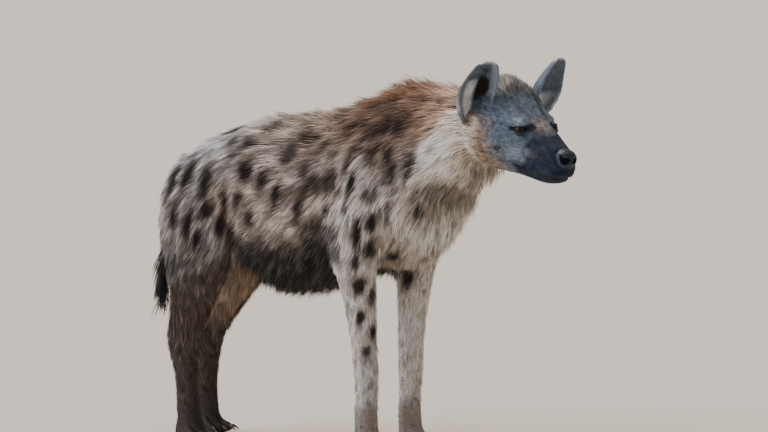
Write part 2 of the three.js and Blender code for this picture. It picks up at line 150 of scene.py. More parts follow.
ZONES = {
    "trunk": ("trunk",),
    "neck": ("neck",),
    "head": ("head", "lower_jaw", "nose_pad"),
    "ear": ("ear_left", "ear_right"),
    "upper_foreleg": ("foreleg_upper_left", "foreleg_upper_right"),
    "forearm": ("forearm_left", "forearm_right"),
    "forepaw": ("forepaw_left", "forepaw_right"),
    "thigh": ("thigh_left", "thigh_right"),
    "shank": ("shank_left", "shank_right"),
    "pastern": ("rear_pastern_left", "rear_pastern_right"),
    "hindpaw": ("hindpaw_left", "hindpaw_right"),
    "tail": ("tail",),
    "tuft": ("tail_tuft",),
}
ZONE_NAMES = list(ZONES)
FLESH = [node for nodes in ZONES.values() for node in nodes]
HEAD_SOLIDS = [*ZONES["head"], *ZONES["ear"], "neck", "eye_right", "eye_left"]

OVERLAP = 0.4 * MM  # each solid swells by this, so that the cuts between solids close
BODY_GRAIN = 6.5 * MM
HEAD_GRAIN = 2.5 * MM
COLLAR = 0.325  # the finer head skin meets the body skin here, under the neck's long hair
COLLAR_GAP = 5 * MM
COLLAR_BLEND = 0.03  # the body's smoothing runs on over this length of the head's skin
FINE_FACE = (-34, -120, 46)  # the finest skin: ahead of, above and below these, in mm from the eyes
FINE_EYES = 25 * MM
FINE_PAWS = 0.075
LOW_PAWS = 0.06  # below this, and this near to an ear, the skin is smoothed only lightly
EAR_ROOM = 4 * MM
ROUNDS = {"body": 14, "head": 22, "ears and paws": 3, "face": 4}  # of smoothing


def swollen(nodes):
    """One mesh of the named solids, each a little swollen."""
    together = bmesh.new()
    for node in nodes:
        piece = bmesh.new()
        piece.from_mesh(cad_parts[node].data)
        bmesh.ops.remove_doubles(piece, verts=piece.verts, dist=0.01 * MM)
        piece.normal_update()
        for vert in piece.verts:
            vert.co += vert.normal * OVERLAP
        single = finished(piece, node + "_swollen")
        together.from_mesh(single)
        bpy.data.meshes.remove(single)
    return finished(together, "flesh")


def melted(nodes, grain):
    """The named solids remade as one closed shell of small squares."""
    lump = linked("lump", swollen(nodes))
    fuse = lump.modifiers.new("fuse", "REMESH")
    fuse.mode = "VOXEL"
    fuse.voxel_size = grain
    graph = bpy.context.evaluated_depsgraph_get()
    mesh = bpy.data.meshes.new_from_object(lump.evaluated_get(graph))
    bpy.data.objects.remove(lump)
    return mesh


def half(mesh, side):
    """What lies on one side of the collar: side 1 keeps the head and -1 the body."""
    part = bmesh.new()
    part.from_mesh(mesh)
    everything = [*part.verts, *part.edges, *part.faces]
    place = (COLLAR + side * COLLAR_GAP / 2, 0, 0)
    bmesh.ops.bisect_plane(part, geom=everything, plane_co=place, plane_no=(-side, 0, 0), clear_outer=True)
    return finished(part, "half")


def soften(shell, verts, rounds):
    for _ in range(rounds):
        bmesh.ops.smooth_vert(
            shell, verts=verts, factor=0.5, use_axis_x=True, use_axis_y=True, use_axis_z=True
        )


def refine(shell, wanted):
    """Halves the squares round the vertices that are wanted."""
    places = np.array([vert.co for vert in shell.verts])
    chosen = wanted(places)
    shell.verts.ensure_lookup_table()
    edges = [edge for edge in shell.edges if chosen[edge.verts[0].index] and chosen[edge.verts[1].index]]
    bmesh.ops.subdivide_edges(shell, edges=edges, cuts=1, use_grid_fill=True, smooth=0.0)
    shell.verts.index_update()


def near_face(places):
    ahead, _, above = on_head(places)
    back, foot, top = FINE_FACE
    return (ahead > back) & (above < top) & (above > foot)


def near_eyes(places):
    close = [np.linalg.norm(places - eye, axis=1) < FINE_EYES for eye, _ in BOTH_EYES]
    return close[0] | close[1]


def near_paws(places):
    return places[:, 2] < FINE_PAWS


def make_shell():
    """The whole skin before its face is shaped, and the unsmoothed outline it came from."""
    body = half(melted(FLESH, BODY_GRAIN), -1)
    head = half(melted(HEAD_SOLIDS, HEAD_GRAIN), 1)
    shell = bmesh.new()
    shell.from_mesh(body)
    shell.from_mesh(head)
    rim = [edge for edge in shell.edges if edge.is_boundary]
    bmesh.ops.bridge_loops(shell, edges=rim)
    shell.verts.index_update()
    outline = BVHTree.FromBMesh(shell)
    ears = [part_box(node) for node in ZONES["ear"]]

    def in_ear(place):
        return any(
            all(low[i] - EAR_ROOM < place[i] < high[i] + EAR_ROOM for i in range(3)) for low, high in ears
        )

    plain = [vert for vert in shell.verts if vert.co.z > LOW_PAWS and not in_ear(vert.co)]
    back = [vert for vert in plain if vert.co.x < COLLAR + COLLAR_BLEND]
    fine = [vert for vert in plain if vert.co.x >= COLLAR]
    rest = [vert for vert in shell.verts if vert.co.z <= LOW_PAWS or in_ear(vert.co)]
    soften(shell, back, ROUNDS["body"])
    soften(shell, fine, ROUNDS["head"])
    soften(shell, rest, ROUNDS["ears and paws"])
    refine(shell, near_face)
    face = [vert for vert in shell.verts if near_face(np.array([vert.co]))[0]]
    soften(shell, face, ROUNDS["face"])
    refine(shell, near_eyes)
    refine(shell, near_paws)
    bmesh.ops.triangulate(shell, faces=shell.faces)
    bmesh.ops.recalc_face_normals(shell, faces=shell.faces)
    return shell, outline


shell, outline = make_shell()
skin_mesh = finished(shell, "skin")


def read(mesh, collection, key, width, kind=np.float64):
    """One value or a row of values for each vertex, edge or corner of a mesh."""
    values = np.empty(len(getattr(mesh, collection)) * width, kind)
    getattr(mesh, collection).foreach_get(key, values)
    return values.reshape(-1, width) if width > 1 else values


points = read(skin_mesh, "vertices", "co", 3)
edges = read(skin_mesh, "edges", "vertices", 2, np.int32)
corners = read(skin_mesh, "loops", "vertex_index", 1, np.int32).reshape(-1, 3)


def blurred(values, rounds):
    """Each vertex takes the mean of itself and its neighbours, again and again."""
    values = np.array(values, float)
    flat = values.reshape(len(values), -1)
    ends = np.concatenate([edges, edges[:, ::-1]])
    count = np.bincount(ends[:, 0], minlength=len(flat))[:, None]
    for _ in range(rounds):
        sums = [np.bincount(ends[:, 0], column[ends[:, 1]], len(flat)) for column in flat.T]
        flat = 0.5 * flat + 0.5 * np.stack(sums, axis=1) / count
    return flat.reshape(values.shape)


def face_normals(places):
    first, second, third = (places[corners[:, k]] for k in range(3))
    return np.cross(second - first, third - first)


def vertex_normals(places):
    across = face_normals(places)
    total = np.zeros_like(places)
    for k in range(3):
        for axis in range(3):
            total[:, axis] += np.bincount(corners[:, k], across[:, axis], len(places))
    return unit(total)


def zone_shares():
    """How much each vertex belongs to each zone, from the nearest solid, with soft borders."""
    verts, faces, owner = [], [], []
    for number, nodes in enumerate(ZONES.values()):
        for node in nodes:
            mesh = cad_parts[node].data
            start = len(verts)
            verts += [vert.co for vert in mesh.vertices]
            faces += [[start + i for i in polygon.vertices] for polygon in mesh.polygons]
            owner += [number] * len(mesh.polygons)
    tree = BVHTree.FromPolygons(verts, faces)
    nearest = np.array([owner[tree.find_nearest(Vector(place))[2]] for place in points])
    return blurred(np.eye(len(ZONE_NAMES))[nearest], 12)


def settled(places):
    """Gives back what smoothing took off the outline, as one broad push out to the solids."""
    ways = vertex_normals(places)
    gap = np.empty(len(places))
    for number, place in enumerate(places):
        nearest = outline.find_nearest(Vector(place))[0]
        gap[number] = (np.array(nearest) - place) @ ways[number]
    return places + blurred(ways, 2) * blurred(gap, 20)[:, None]


points = settled(points)
shares = zone_shares()


def zoned(table):
    """A value for each vertex from a table with one value for each zone."""
    return shares @ np.array([table[name] for name in ZONE_NAMES], float)


def zone(*names):
    """How much each vertex belongs to the named zones together."""
    return sum(shares[:, ZONE_NAMES.index(name)] for name in names)


normals = vertex_normals(points)
u, v, w = on_head(points)
x, y, z = points.T / MM
topside = ease(normals[:, 2], 0.15, 0.75)
underside = ease(-normals[:, 2], 0.2, 0.8)
on_head_zone = zone("head")

# Where the coat changes within a zone
mane = topside * band(x, -190, 330, 130) * zone("trunk", "neck")
fringe = underside * band(x, -420, 40, 60) * zone("trunk")
breast = band(z, 400, 600, 60) * ease(x, 130, 230) * zone("trunk", "neck", "upper_foreleg")
crown = on_head_zone * ease(w, 20, 62) * ease(-u, 20, 62) * hill(v, 60)
cheek = on_head_zone * ease(-u, 38, 100) * (1 - ease(w, 10, 50))
muzzle = on_head_zone * ease(u, 0, 52)
DEPTH = {
    "trunk": 15, "neck": 19, "head": 3.2, "ear": 0.2, "upper_foreleg": 10, "forearm": 6, "forepaw": 3,
    "thigh": 10, "shank": 7, "pastern": 5, "hindpaw": 3, "tail": 9, "tuft": 15,
}
depth = zoned(DEPTH) + 22 * mane + 6 * fringe + 5 * crown + 6 * cheek - 1.6 * muzzle
off_ears = 1 - np.clip(3 * zone("ear"), 0, 1)
behind_jaw = ease(x, 330, 360) * off_ears * (1 - on_head_zone * ease(u, -60, -30))
depth = depth + (blurred(depth, 120) - depth) * behind_jaw
points = points - blurred(normals, 2) * depth[:, None] * MM

# Face: lids, brows, nostrils and lips, in mm and degrees

SLIT_HALF = 74  # from the middle of the eye's opening to either corner, as degrees round the globe
CORNER_RISE = 15  # the line between the corners stands this far above the globe's middle, in degrees
UPPER_LID = 13  # how far the opening reaches above that line, and below it, in degrees
LOWER_LID = 39
LID = 2.0  # thickness of a lid over the eyeball
SINK = 4  # behind the opening the skin drops this far into the globe, out of sight
CREASE = 1.0  # depth of the fold above the upper lid
EYE_OUTWARD = 40  # the middle of each opening faces this many degrees from straight ahead
LIP_GROOVE = 3.4  # how deep or how proud each form of the face and paws is
UPPER_LIP = 1.6
LOWER_LIP = 1.0
EYE_HOLLOW = 2.2
BROW = 4.5
WHISKER_PAD = 2.5
NOSE_EDGE = 0.8
NOSE = 2.0
NOSTRIL = 9
NOSTRIL_SLIT = 4
CLEFT = 1.6
TOE_FURROW = 4.0


def eye_axes(side):
    """Out of the socket, towards the inner corner, and up across the opening."""
    turn = math.radians(EYE_OUTWARD)
    out = unit(AHEAD * math.cos(turn) + LEFTWARD * side * math.sin(turn) + UP * 0.10)
    inner = unit(np.cross(out, UP) * side - UP * 0.10)
    inner = unit(inner - out * (inner @ out))
    rise = np.cross(out, inner) * side
    rise = rise * np.sign(rise[2])
    return out, inner, rise


def round_eye(places, eye, side):
    """How places stand to one eye.

    Gives the distance from its centre in mm, the degrees round it towards its inner corner, the degrees
    above the line between its corners, and the direction out from its centre.
    """
    out, inner, rise = eye_axes(side)
    offset = (places - eye) / MM
    reach = np.linalg.norm(offset, axis=1)
    way = offset / reach[:, None]
    across = np.degrees(np.arctan2(way @ inner, way @ out))
    height = np.degrees(np.arcsin(np.clip(way @ rise, -1, 1))) - CORNER_RISE
    return reach, across, height, way


def open_lids(places, eye, side):
    """Wraps the skin round one eyeball as two lids with an almond opening between them."""
    out = eye_axes(side)[0]
    reach, across, height, way = round_eye(places, eye, side)
    share = np.clip(np.abs(across) / SLIT_HALF, 0, 1)
    upper = UPPER_LID * np.sqrt(np.clip(1 - share**3, 0, 1))
    lower = -LOWER_LID * np.clip(1 - share**2, 0, 1)
    radius = EYE_RADIUS / MM
    past_corner = np.maximum(np.abs(across) - SLIT_HALF, 0) * math.radians(1) * reach
    arm = np.where(upper > height, radius, reach)
    depth_in = np.minimum(upper - height, height - lower) * math.radians(1) * arm
    depth_in = np.where(past_corner > 0, -np.hypot(past_corner, np.minimum(depth_in, 0)), depth_in)
    front = ease(way @ out, 0.05, 0.3)
    margin = radius + LID
    snug = np.maximum(reach, margin - 0.5)
    snug = snug + (margin - snug) * hill(np.minimum(depth_in, 0), 4.5)
    opening = radius - SINK * ease(depth_in, 0.0, 1.2) + LID * (1 - ease(depth_in, 0, 0.8))
    opened = np.where(depth_in > 0, opening, snug)
    near = front * (1 - ease(reach, 24, 34))
    target = reach + (opened - reach) * near
    crease = hill(height - upper - 19, 7) * hill(across, 40) * (depth_in < 0)
    target = target - CREASE * crease * near
    return eye + way * target[:, None] * MM, depth_in, near


MOUTH_LINE = np.array([  # mm ahead of the eyes and above them, from the corner of the mouth forwards
    (-12, -67), (0, -76), (18, -84), (36, -89), (56, -94), (72, -96), (92, -97), (120, -95),
])


def mouth_height(ahead):
    return np.interp(ahead, MOUTH_LINE[:, 0], MOUTH_LINE[:, 1])


def mound(at, centre, reach):
    """1 at a centre and fading round it, each way by a reach of its own."""
    share = 1.0
    for values, start, size in zip(at, centre, reach):
        share = share * hill(values - start, size)
    return share


def egg(at, centre, reach):
    """Distance from the middle of an egg shape, as a share of the way to its surface."""
    return np.sqrt(sum(((values - start) / size) ** 2 for values, start, size in zip(at, centre, reach)))


def press(places, amount, ways):
    """Moves vertices inwards by an amount in mm, against the surface's own direction."""
    return places - ways * (amount * MM)[:, None]


normals = vertex_normals(points)
u, v, w = on_head(points)
ways = blurred(normals, 3)
on_front = ease(u, -16, -8) * (shares[:, ZONE_NAMES.index("head")] > 0.5)
from_mouth = w - mouth_height(u)
lip_groove = on_front * hill(from_mouth, 1.7) * LIP_GROOVE
upper_lip = on_front * hill(from_mouth - 7, 6) * UPPER_LIP
lower_lip = on_front * hill(from_mouth + 6, 4) * LOWER_LIP
points = press(points, lip_groove - upper_lip - lower_lip, ways)

brow = sum(mound((u, v, w), (2, side * 45, 19), (20, 22, 9)) for side in (-1, 1))
eye_hollow = sum(mound((u, v, w), (24, side * 33, -4), (12, 10, 12)) for side in (-1, 1))
whisker_pad = sum(mound((u, v, w), (80, side * 30, -76), (22, 14, 14)) for side in (-1, 1))
points = press(points, EYE_HOLLOW * eye_hollow - BROW * brow - WHISKER_PAD * whisker_pad, ways)

NOSE_MIDDLE = (95, 0, -56)  # ahead of the eyes, left and up
NOSE_SIZE = (23, 22.5, 20.5)
nose_ring = egg((u, v, w), NOSE_MIDDLE, NOSE_SIZE)
is_nose = (1 - ease(nose_ring, 1.02, 1.12)) * ease(u, 78, 86)
nose_edge = hill(nose_ring - 1.12, 0.07) * ease(u, 70, 84) * (w > -80)
points = press(points, nose_edge * NOSE_EDGE - NOSE * is_nose, ways)
u, v, w = on_head(points)
# The black inside the carved nostrils is painted shade, and the light ring round them a painted highlight
nostril_shade = np.zeros(len(points))
nostril_rim_highlight = np.zeros(len(points))
for side in (-1, 1):
    hole = egg((u, v, w), (110, side * 11.5, -60), (18, 9, 7.5))
    slit = egg((u, v, w), (101, side * 19.5, -53), (14, 3.4, 8.5))
    opening = NOSTRIL * (1 - ease(hole, 0.55, 1.05)) + NOSTRIL_SLIT * (1 - ease(slit, 0.3, 1.0))
    points = press(points, opening, ways)
    either = np.minimum(hole, slit + 0.1)
    nostril_shade += 1 - ease(either, 0.95, 1.2)
    nostril_rim_highlight += is_nose * hill(either - 1.45, 0.2) * ease(np.abs(v), 8, 16)
cleft = hill(v, 1.3) * band(w, -88, -56, 4) * ease(u, 88, 98)
points = press(points, cleft * CLEFT, ways)


PAWS = [name[:-2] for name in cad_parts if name.startswith("claw") and name.endswith("_1")]


def toe_gaps(places):
    """1 along the furrows between the toes, which run back from between neighbouring claws."""
    gap = np.zeros(len(places))
    for paw in PAWS:
        claws = sorted((middle(f"{paw}_{toe}") / MM for toe in (1, 2, 3, 4)), key=lambda at: at[1])
        for first, second in zip(claws, claws[1:]):
            between = (first + second) / 2
            behind_claw = between[0] - places[:, 0] / MM
            aside = np.abs(places[:, 1] / MM - between[1])
            gap = np.maximum(gap, hill(aside, 3.2) * band(behind_claw, -20, 34, 14))
    return gap * ease(places[:, 2] / MM, 3, 10) * (1 - ease(places[:, 2] / MM, 45, 62))


points = press(points, TOE_FURROW * toe_gaps(points), blurred(vertex_normals(points), 3))

lids = []  # for each eye: how far each vertex is inside its opening in mm, and how near to it
for eye, side in BOTH_EYES:
    points, inside, near = open_lids(points, eye, side)
    lids.append((eye, side, inside, near))
skin_mesh.vertices.foreach_set("co", points.ravel())
skin_mesh.update()
normals = vertex_normals(points)
u, v, w = on_head(points)
x, y, z = points.T / MM

# Ears, each measured along its own length and across its cup, in mm and degrees

EAR_TURN = {-1: -40, 1: 18}  # the opening's heading from straight ahead, on the right and on the left
EAR_DRIFT = {-1: 1, 1: -0.7}  # how far the tip leans inwards
EAR_SPREAD = {-1: 1, 1: 1.22}  # the left ear's inner half is wider
EAR_LEVELS = (-34, -6, 24, 52, 80, 104, 120, 125)
EAR_OUTER = (12, 31, 42, 45, 39, 30, 20, 10)  # from the ear's spine to its outer rim at each level
EAR_INNER = (14, 22, 33, 36, 35, 30, 22, 11)
EAR_LEAN = (0, 0, 0, 1, 4, 7, 9, 10)
EAR_BOW = (4, 0, 0, 3, 9, 18, 26, 30)  # the spine's curve forwards
EAR_FORWARD = 22  # degrees that the ear's spine leans forwards, and outwards
EAR_OUTWARD = 7
EAR_ROOT = (-104, 79, 26)  # the foot of an ear, from the eyes: ahead, out to its side and up
EAR_SET_BACK = 22  # the spine stands this far behind that foot, against the way the cup faces
# The ear's opening is painted black, as painted shade deep in the cup
HOLE_LEVELS = (-10, 22, 46, 63, 80, 93)  # heights up the dark opening, its middle there and its half width
HOLE_MIDDLE = (-0.10, -0.02, 0.07, 0.13, 0.08, -0.02)
HOLE_HALF = (0.12, 0.16, 0.26, 0.33, 0.26, 0.08)
STREAK = {-1: (72, -0.47, 0.21), 1: (36, -0.15, 0.50)}  # a pale streak's top, its middle and reach across
# Painted shade in each ear's cup, weaker in the left ear
CUP_SHADE = {-1: 1.0, 1: 0.72}  # how dark the hair in each cup is


def on_ear(places, side):
    """Height up the ear, way across it from -1 at the outer rim to 1 at the inner, and outwardness."""
    turn = math.radians(EAR_TURN[side])
    opening = AHEAD * math.cos(turn) + np.cross(UP, AHEAD) * math.sin(turn)
    medial = np.cross(opening, UP) * side
    forwards = math.tan(math.radians(EAR_FORWARD))
    outwards = math.tan(math.radians(EAR_OUTWARD))
    spine = unit(UP + AHEAD * forwards + LEFTWARD * side * outwards)
    back, out, up = EAR_ROOT
    root = EYES + (AHEAD * back + LEFTWARD * side * out + UP * up - opening * EAR_SET_BACK) * MM
    axes = np.linalg.inv(np.stack([spine, medial, opening]))
    height, across, ahead = ((places - root) / MM @ axes).T
    rows = (EAR_OUTER, EAR_INNER, EAR_LEAN, EAR_BOW)
    outer, inner, lean, bow = (np.interp(height, EAR_LEVELS, row) for row in rows)
    across = across - lean * EAR_DRIFT[side]
    width = np.where(across < 0, outer, inner * EAR_SPREAD[side])
    ahead = ahead - bow - width
    radial = unit(across[:, None] * medial + ahead[:, None] * opening)
    return height, across / width, ahead / width, radial


def ear_shares(places, ways, ear_zone):
    """Shares of each place in a cup's painted shade, its rim of painted light, the dark opening of painted
    shade, the pale streak and the front lobe.
    """
    shade, rim, hole, streak, front_lobe = (np.zeros(len(places)) for _ in range(5))
    _, left, _ = on_head(places)
    for side in (-1, 1):
        height, across, ahead, radial = on_ear(places, side)
        mine = ear_zone * (left * side > 0)
        within = ease(-np.sum(ways * radial, axis=1), -0.1, 0.35)
        shade += CUP_SHADE[side] * mine * within * (0.4 + 0.6 * hill(across, 0.55))
        # Painted light along the ear's rim
        edge = ease(ahead, -0.10, 0.12) + ease(height, 117, 123)
        rim_foot, rim_full = np.where(across > 0, 44, 2), np.where(across > 0, 66, 20)
        rim += mine * np.clip(edge, 0, 1) * ease(height, rim_foot, rim_full)
        hole_half = np.interp(height, HOLE_LEVELS, HOLE_HALF)
        off_middle = np.abs(across - np.interp(height, HOLE_LEVELS, HOLE_MIDDLE))
        open_here = 1 - ease(off_middle, hole_half - 0.04, hole_half + 0.2)
        hole += mine * within * band(height, -20, 84, 18) * open_here
        top, centre, reach = STREAK[side]
        streak += mine * within * band(height, 6, top, 16) * hill(across - centre, reach)
        front_lobe += mine * within * ease(across, 0.35, 0.6) * ease(height, 30, 60)
    return shade, rim, hole, streak, front_lobe


_, ear_lit_rim, ear_opening_shade, ear_streak, _ = ear_shares(points, normals, zone("ear"))

# The lie of the coat: how long its hairs are (mm), how far they stand up (degrees) and which way they lie

LENGTH = {
    "trunk": 38, "neck": 44, "head": 10, "ear": 6, "upper_foreleg": 32, "forearm": 20, "forepaw": 9,
    "thigh": 33, "shank": 24, "pastern": 16, "hindpaw": 8, "tail": 30, "tuft": 62,
}
LIFT = {
    "trunk": 16, "neck": 17, "head": 10, "ear": 14, "upper_foreleg": 14, "forearm": 12, "forepaw": 12,
    "thigh": 14, "shank": 14, "pastern": 14, "hindpaw": 12, "tail": 14, "tuft": 12,
}
round_eyes = sum(hill(np.linalg.norm(points - eye, axis=1) / MM, 24) for eye, _ in BOTH_EYES)
hair_length = (
    zoned(LENGTH) + 30 * mane + 22 * fringe + 18 * crown + 24 * cheek - 5 * muzzle + 10 * breast
    + 8 * ear_streak - 1 * ear_lit_rim - 3 * ear_opening_shade
)
hair_length = hair_length * (1 - 0.7 * round_eyes)
hair_lift = zoned(LIFT) + 12 * mane + 20 * fringe + 6 * breast + 22 * crown + 6 * cheek + 20 * ear_streak
hair_width = 0.24 + 0.0115 * hair_length

LIE = {
    "trunk": (-1, 0, -0.5), "neck": (-1, 0, -0.5), "head": (-1, 0, 0), "ear": (0, 0, 1),
    "upper_foreleg": (-0.45, 0, -1), "forearm": (-0.12, 0, -1), "forepaw": (0.8, 0, -0.5),
    "thigh": (-0.6, 0, -1), "shank": (-0.1, 0, -1), "pastern": (0.1, 0, -1), "hindpaw": (0.8, 0, -0.5),
    "tail": (0, 0, -1), "tuft": (0, 0, -1),
}
lie = zoned(LIE)
from_nose = unit(points - (EYES + (AHEAD * 118 - UP * 50) * MM))
lie = mixed(lie, from_nose, np.clip(on_head_zone * 1.5, 0, 1))
steeper = 0.8 * hill(x - 110, 110) + 0.9 * ease(-x, 180, 380)
lie[:, 2] -= steeper * zone("trunk")
lie[:, 2] -= 0.8 * fringe + 0.35 * underside * zone("trunk")
lie = along_surface(blurred(unit(lie), 4), normals)

# Markings: the same colours for skin and coat

# The head's and ears' greys carry a blue tint of painted sky light on the shaded face
COLOURS = {
    "trunk": "#b5a799", "neck": "#b0a396", "head": "#5a6672", "ear": "#66727f",
    "upper_foreleg": "#e6ddd3", "forearm": "#d6ccc2", "forepaw": "#8d8075",
    "thigh": "#b3aba4", "shank": "#4a3e36", "pastern": "#41372f", "hindpaw": "#38302b",
    "tail": "#6d604f", "tuft": "#1d1a18",
}
zone_colours = np.stack([linear(COLOURS[name]) for name in ZONE_NAMES])

# Spots of the right side: ahead of the origin, up, width and height (mm), and how dark
SPOTS = (
    (163, 703, 20, 27, 1.0), (128, 705, 21, 36, 0.9), (104, 692, 18, 22, 0.7), (153, 644, 17, 36, 1.0),
    (200, 635, 20, 44, 1.0), (167, 612, 20, 40, 1.0), (119, 645, 14, 40, 0.7), (77, 658, 14, 46, 0.7),
    (77, 584, 19, 44, 1.0), (58, 619, 15, 28, 0.6), (122, 560, 24, 24, 0.5), (122, 507, 18, 32, 0.9),
    (85, 483, 17, 52, 0.9), (99, 449, 20, 36, 1.0), (118, 440, 15, 30, 0.8), (152, 540, 12, 34, 0.6),
    (201, 537, 18, 34, 0.8), (64, 536, 13, 24, 0.6), (69, 373, 22, 26, 0.9), (98, 345, 16, 30, 0.7),
    (9, 592, 32, 34, 0.6), (-44, 583, 32, 28, 0.7), (-81, 525, 22, 38, 0.8), (-145, 549, 22, 36, 0.9),
    (-192, 578, 28, 32, 0.9), (-251, 599, 34, 36, 1.0), (-128, 634, 42, 42, 0.75), (-99, 663, 32, 30, 0.7),
    (-216, 681, 28, 38, 0.9), (-68, 613, 26, 28, 0.6), (-27, 653, 26, 26, 0.6), (-9, 705, 34, 34, 0.6),
    (-6, 739, 40, 44, 0.55), (-160, 715, 24, 70, 0.8), (-2, 525, 14, 18, 0.7), (-42, 491, 20, 18, 0.6),
    (-453, 493, 20, 42, 1.0), (-426, 576, 20, 60, 0.9), (-468, 562, 22, 46, 0.8), (-375, 561, 28, 56, 0.9),
    (-367, 508, 24, 38, 0.8), (-411, 474, 20, 46, 0.9), (-386, 443, 20, 36, 0.9), (-338, 480, 22, 36, 0.8),
    (-315, 528, 20, 46, 0.8), (-321, 459, 15, 42, 0.7), (-350, 672, 22, 50, 0.8), (-264, 647, 22, 26, 0.7),
    (-300, 620, 20, 34, 0.5), (40, 690, 26, 34, 0.5), (62, 725, 30, 38, 0.5), (-60, 560, 20, 30, 0.5),
    (-270, 540, 20, 34, 0.6), (-230, 500, 20, 34, 0.6), (70, 420, 16, 28, 0.7), (-132, 728, 92, 14, 0.9),
    (-179, 710, 40, 18, 0.8), (62, 305, 14, 22, 0.8), (88, 268, 13, 20, 0.8), (66, 232, 12, 18, 0.7),
    (-338, 678, 34, 18, 0.9), (-319, 650, 30, 26, 0.8), (-172, 700, 30, 26, 0.8),
)
SPOT_GAP = 0.062  # between the spots that are scattered over the left side
SPREAD = (1.15, 1.25)  # the coat's ragged hair eats at a spot, so each is drawn this much larger
DEEPEN = 0.2  # and this much darker


def scattered_spots():
    """The left side's spots, as evenly spaced as the right side's and in places of their own."""
    dice = np.random.default_rng(SEED + 3)
    spotted = (zone("trunk", "upper_foreleg", "thigh", "forearm") > 0.6) & (y > 12) & (z > 350)
    spotted &= (normals[:, 0] < 0.45) & (x < 230)
    rows = []
    for index in dice.permutation(np.flatnonzero(spotted)):
        if all(np.linalg.norm(points[index] - points[other]) > SPOT_GAP for other, *_ in rows):
            rows.append((index, dice.uniform(15, 28), dice.uniform(24, 46), dice.uniform(0.5, 1.0)))
    return rows


def placed_spots():
    """The right side's spots, each from the skin vertex that lies nearest to its place."""
    facing = np.flatnonzero((normals[:, 1] < 0.1) & (y < 5) & (zone("tail", "tuft") < 0.3))
    rows = []
    for ahead, height, across, along, dark in SPOTS:
        nearest = facing[np.argmin((x[facing] - ahead) ** 2 + (z[facing] - height) ** 2)]
        rows.append((nearest, across * SPREAD[0], along * SPREAD[1], min(1, dark + DEEPEN)))
    return rows


spots = placed_spots() + scattered_spots()
SPOT_LEAN = (-0.25, 0, -1.0)  # spots stand taller than wide, a little back at the foot
upright = along_surface(np.tile(SPOT_LEAN, (len(points), 1)), normals)
SPOT_REACH = 95 * MM  # how far from its middle a spot and the brown round it can show
SPOT_DEPTH = 30  # mm from the skin to the highest hair tip that a spot colours


def spot_cover(places):
    """How dark the spots make each place on the skin or in the coat above it, and how brown round them."""
    cover = np.zeros(len(places))
    halo = np.zeros(len(places))
    ragged = 0.2 * ripple(places, 0.012, 31) + 0.15 * ripple(places, 0.03, 32)
    order = np.argsort(places[:, 0])
    along_body = places[order, 0]
    for index, across, along, dark in spots:
        centre = points[index]
        ends = np.searchsorted(along_body, (centre[0] - SPOT_REACH, centre[0] + SPOT_REACH))
        near = order[ends[0] : ends[1]]
        offset = (places[near] - centre) / MM
        forward = offset @ upright[index]
        sideways = offset @ np.cross(normals[index], upright[index])
        above = offset @ normals[index]
        distance = np.sqrt((sideways / (across / 2)) ** 2 + (forward / (along / 2)) ** 2) + ragged[near]
        low = dark * (np.abs(above) < SPOT_DEPTH)
        cover[near] = np.maximum(cover[near], low * (1 - ease(distance, 0.7, 1.45)))
        halo[near] = np.maximum(halo[near], low * (1 - ease(distance, 0.9, 2.5)))
    return cover, halo


DARK_MUZZLE = np.array([  # the dark muzzle's edge: mm below the eyes, and ahead of them
    (-20, 44), (0, 16), (11, 15), (25, 17), (42, 24), (55, 22), (66, 8), (75, -4), (90, -12),
])


def smudge(colour, *layers):
    """Lays colours over each other in order, each an sRGB hex code and its share at each place."""
    for code, share in layers:
        colour = mixed(colour, linear(code)[None], np.clip(share, 0, 1))
    return colour


def clouds(places):
    """Two slow waves that keep the borders in the coat uneven."""
    return ripple(places, 0.10, 5), ripple(places, 0.05, 6)


def flank_and_rump(places, ways, part):
    """A warm back, brown blotches, a pale rump with a painted sheen of light from above, and its darker
    rear edge.
    """
    ahead, _, height = places.T / MM
    cloud, patchy = clouds(places)
    top = ease(ways[:, 2], 0.15, 0.75)
    haunch = part("trunk", "thigh")
    warm = ease(ahead, -200, -60) * ease(height + 30 * cloud, 600, 690) * part("trunk", "neck")
    blotch = ease(patchy + 0.4 * cloud, -0.1, 0.8) * (haunch + 0.5 * part("upper_foreleg"))
    # pale hair on the rump, made paler and bluer as a painted sheen of the light from above
    pale = ease(-ahead, 230, 400) * ease(height + 50 * cloud, 510, 640)
    rear_edge = ease(-ways[:, 0], 0.3, 0.8) * (1 - top) * band(height, 430, 630, 60)
    return (
        ("#866f5d", 0.9 * warm),
        ("#56443a", (0.68 - 0.2 * ease(ahead, 60, 160)) * blotch),
        ("#cccecf", 0.82 * haunch * pale),
        ("#4f4740", 0.72 * haunch * rear_edge),
    )


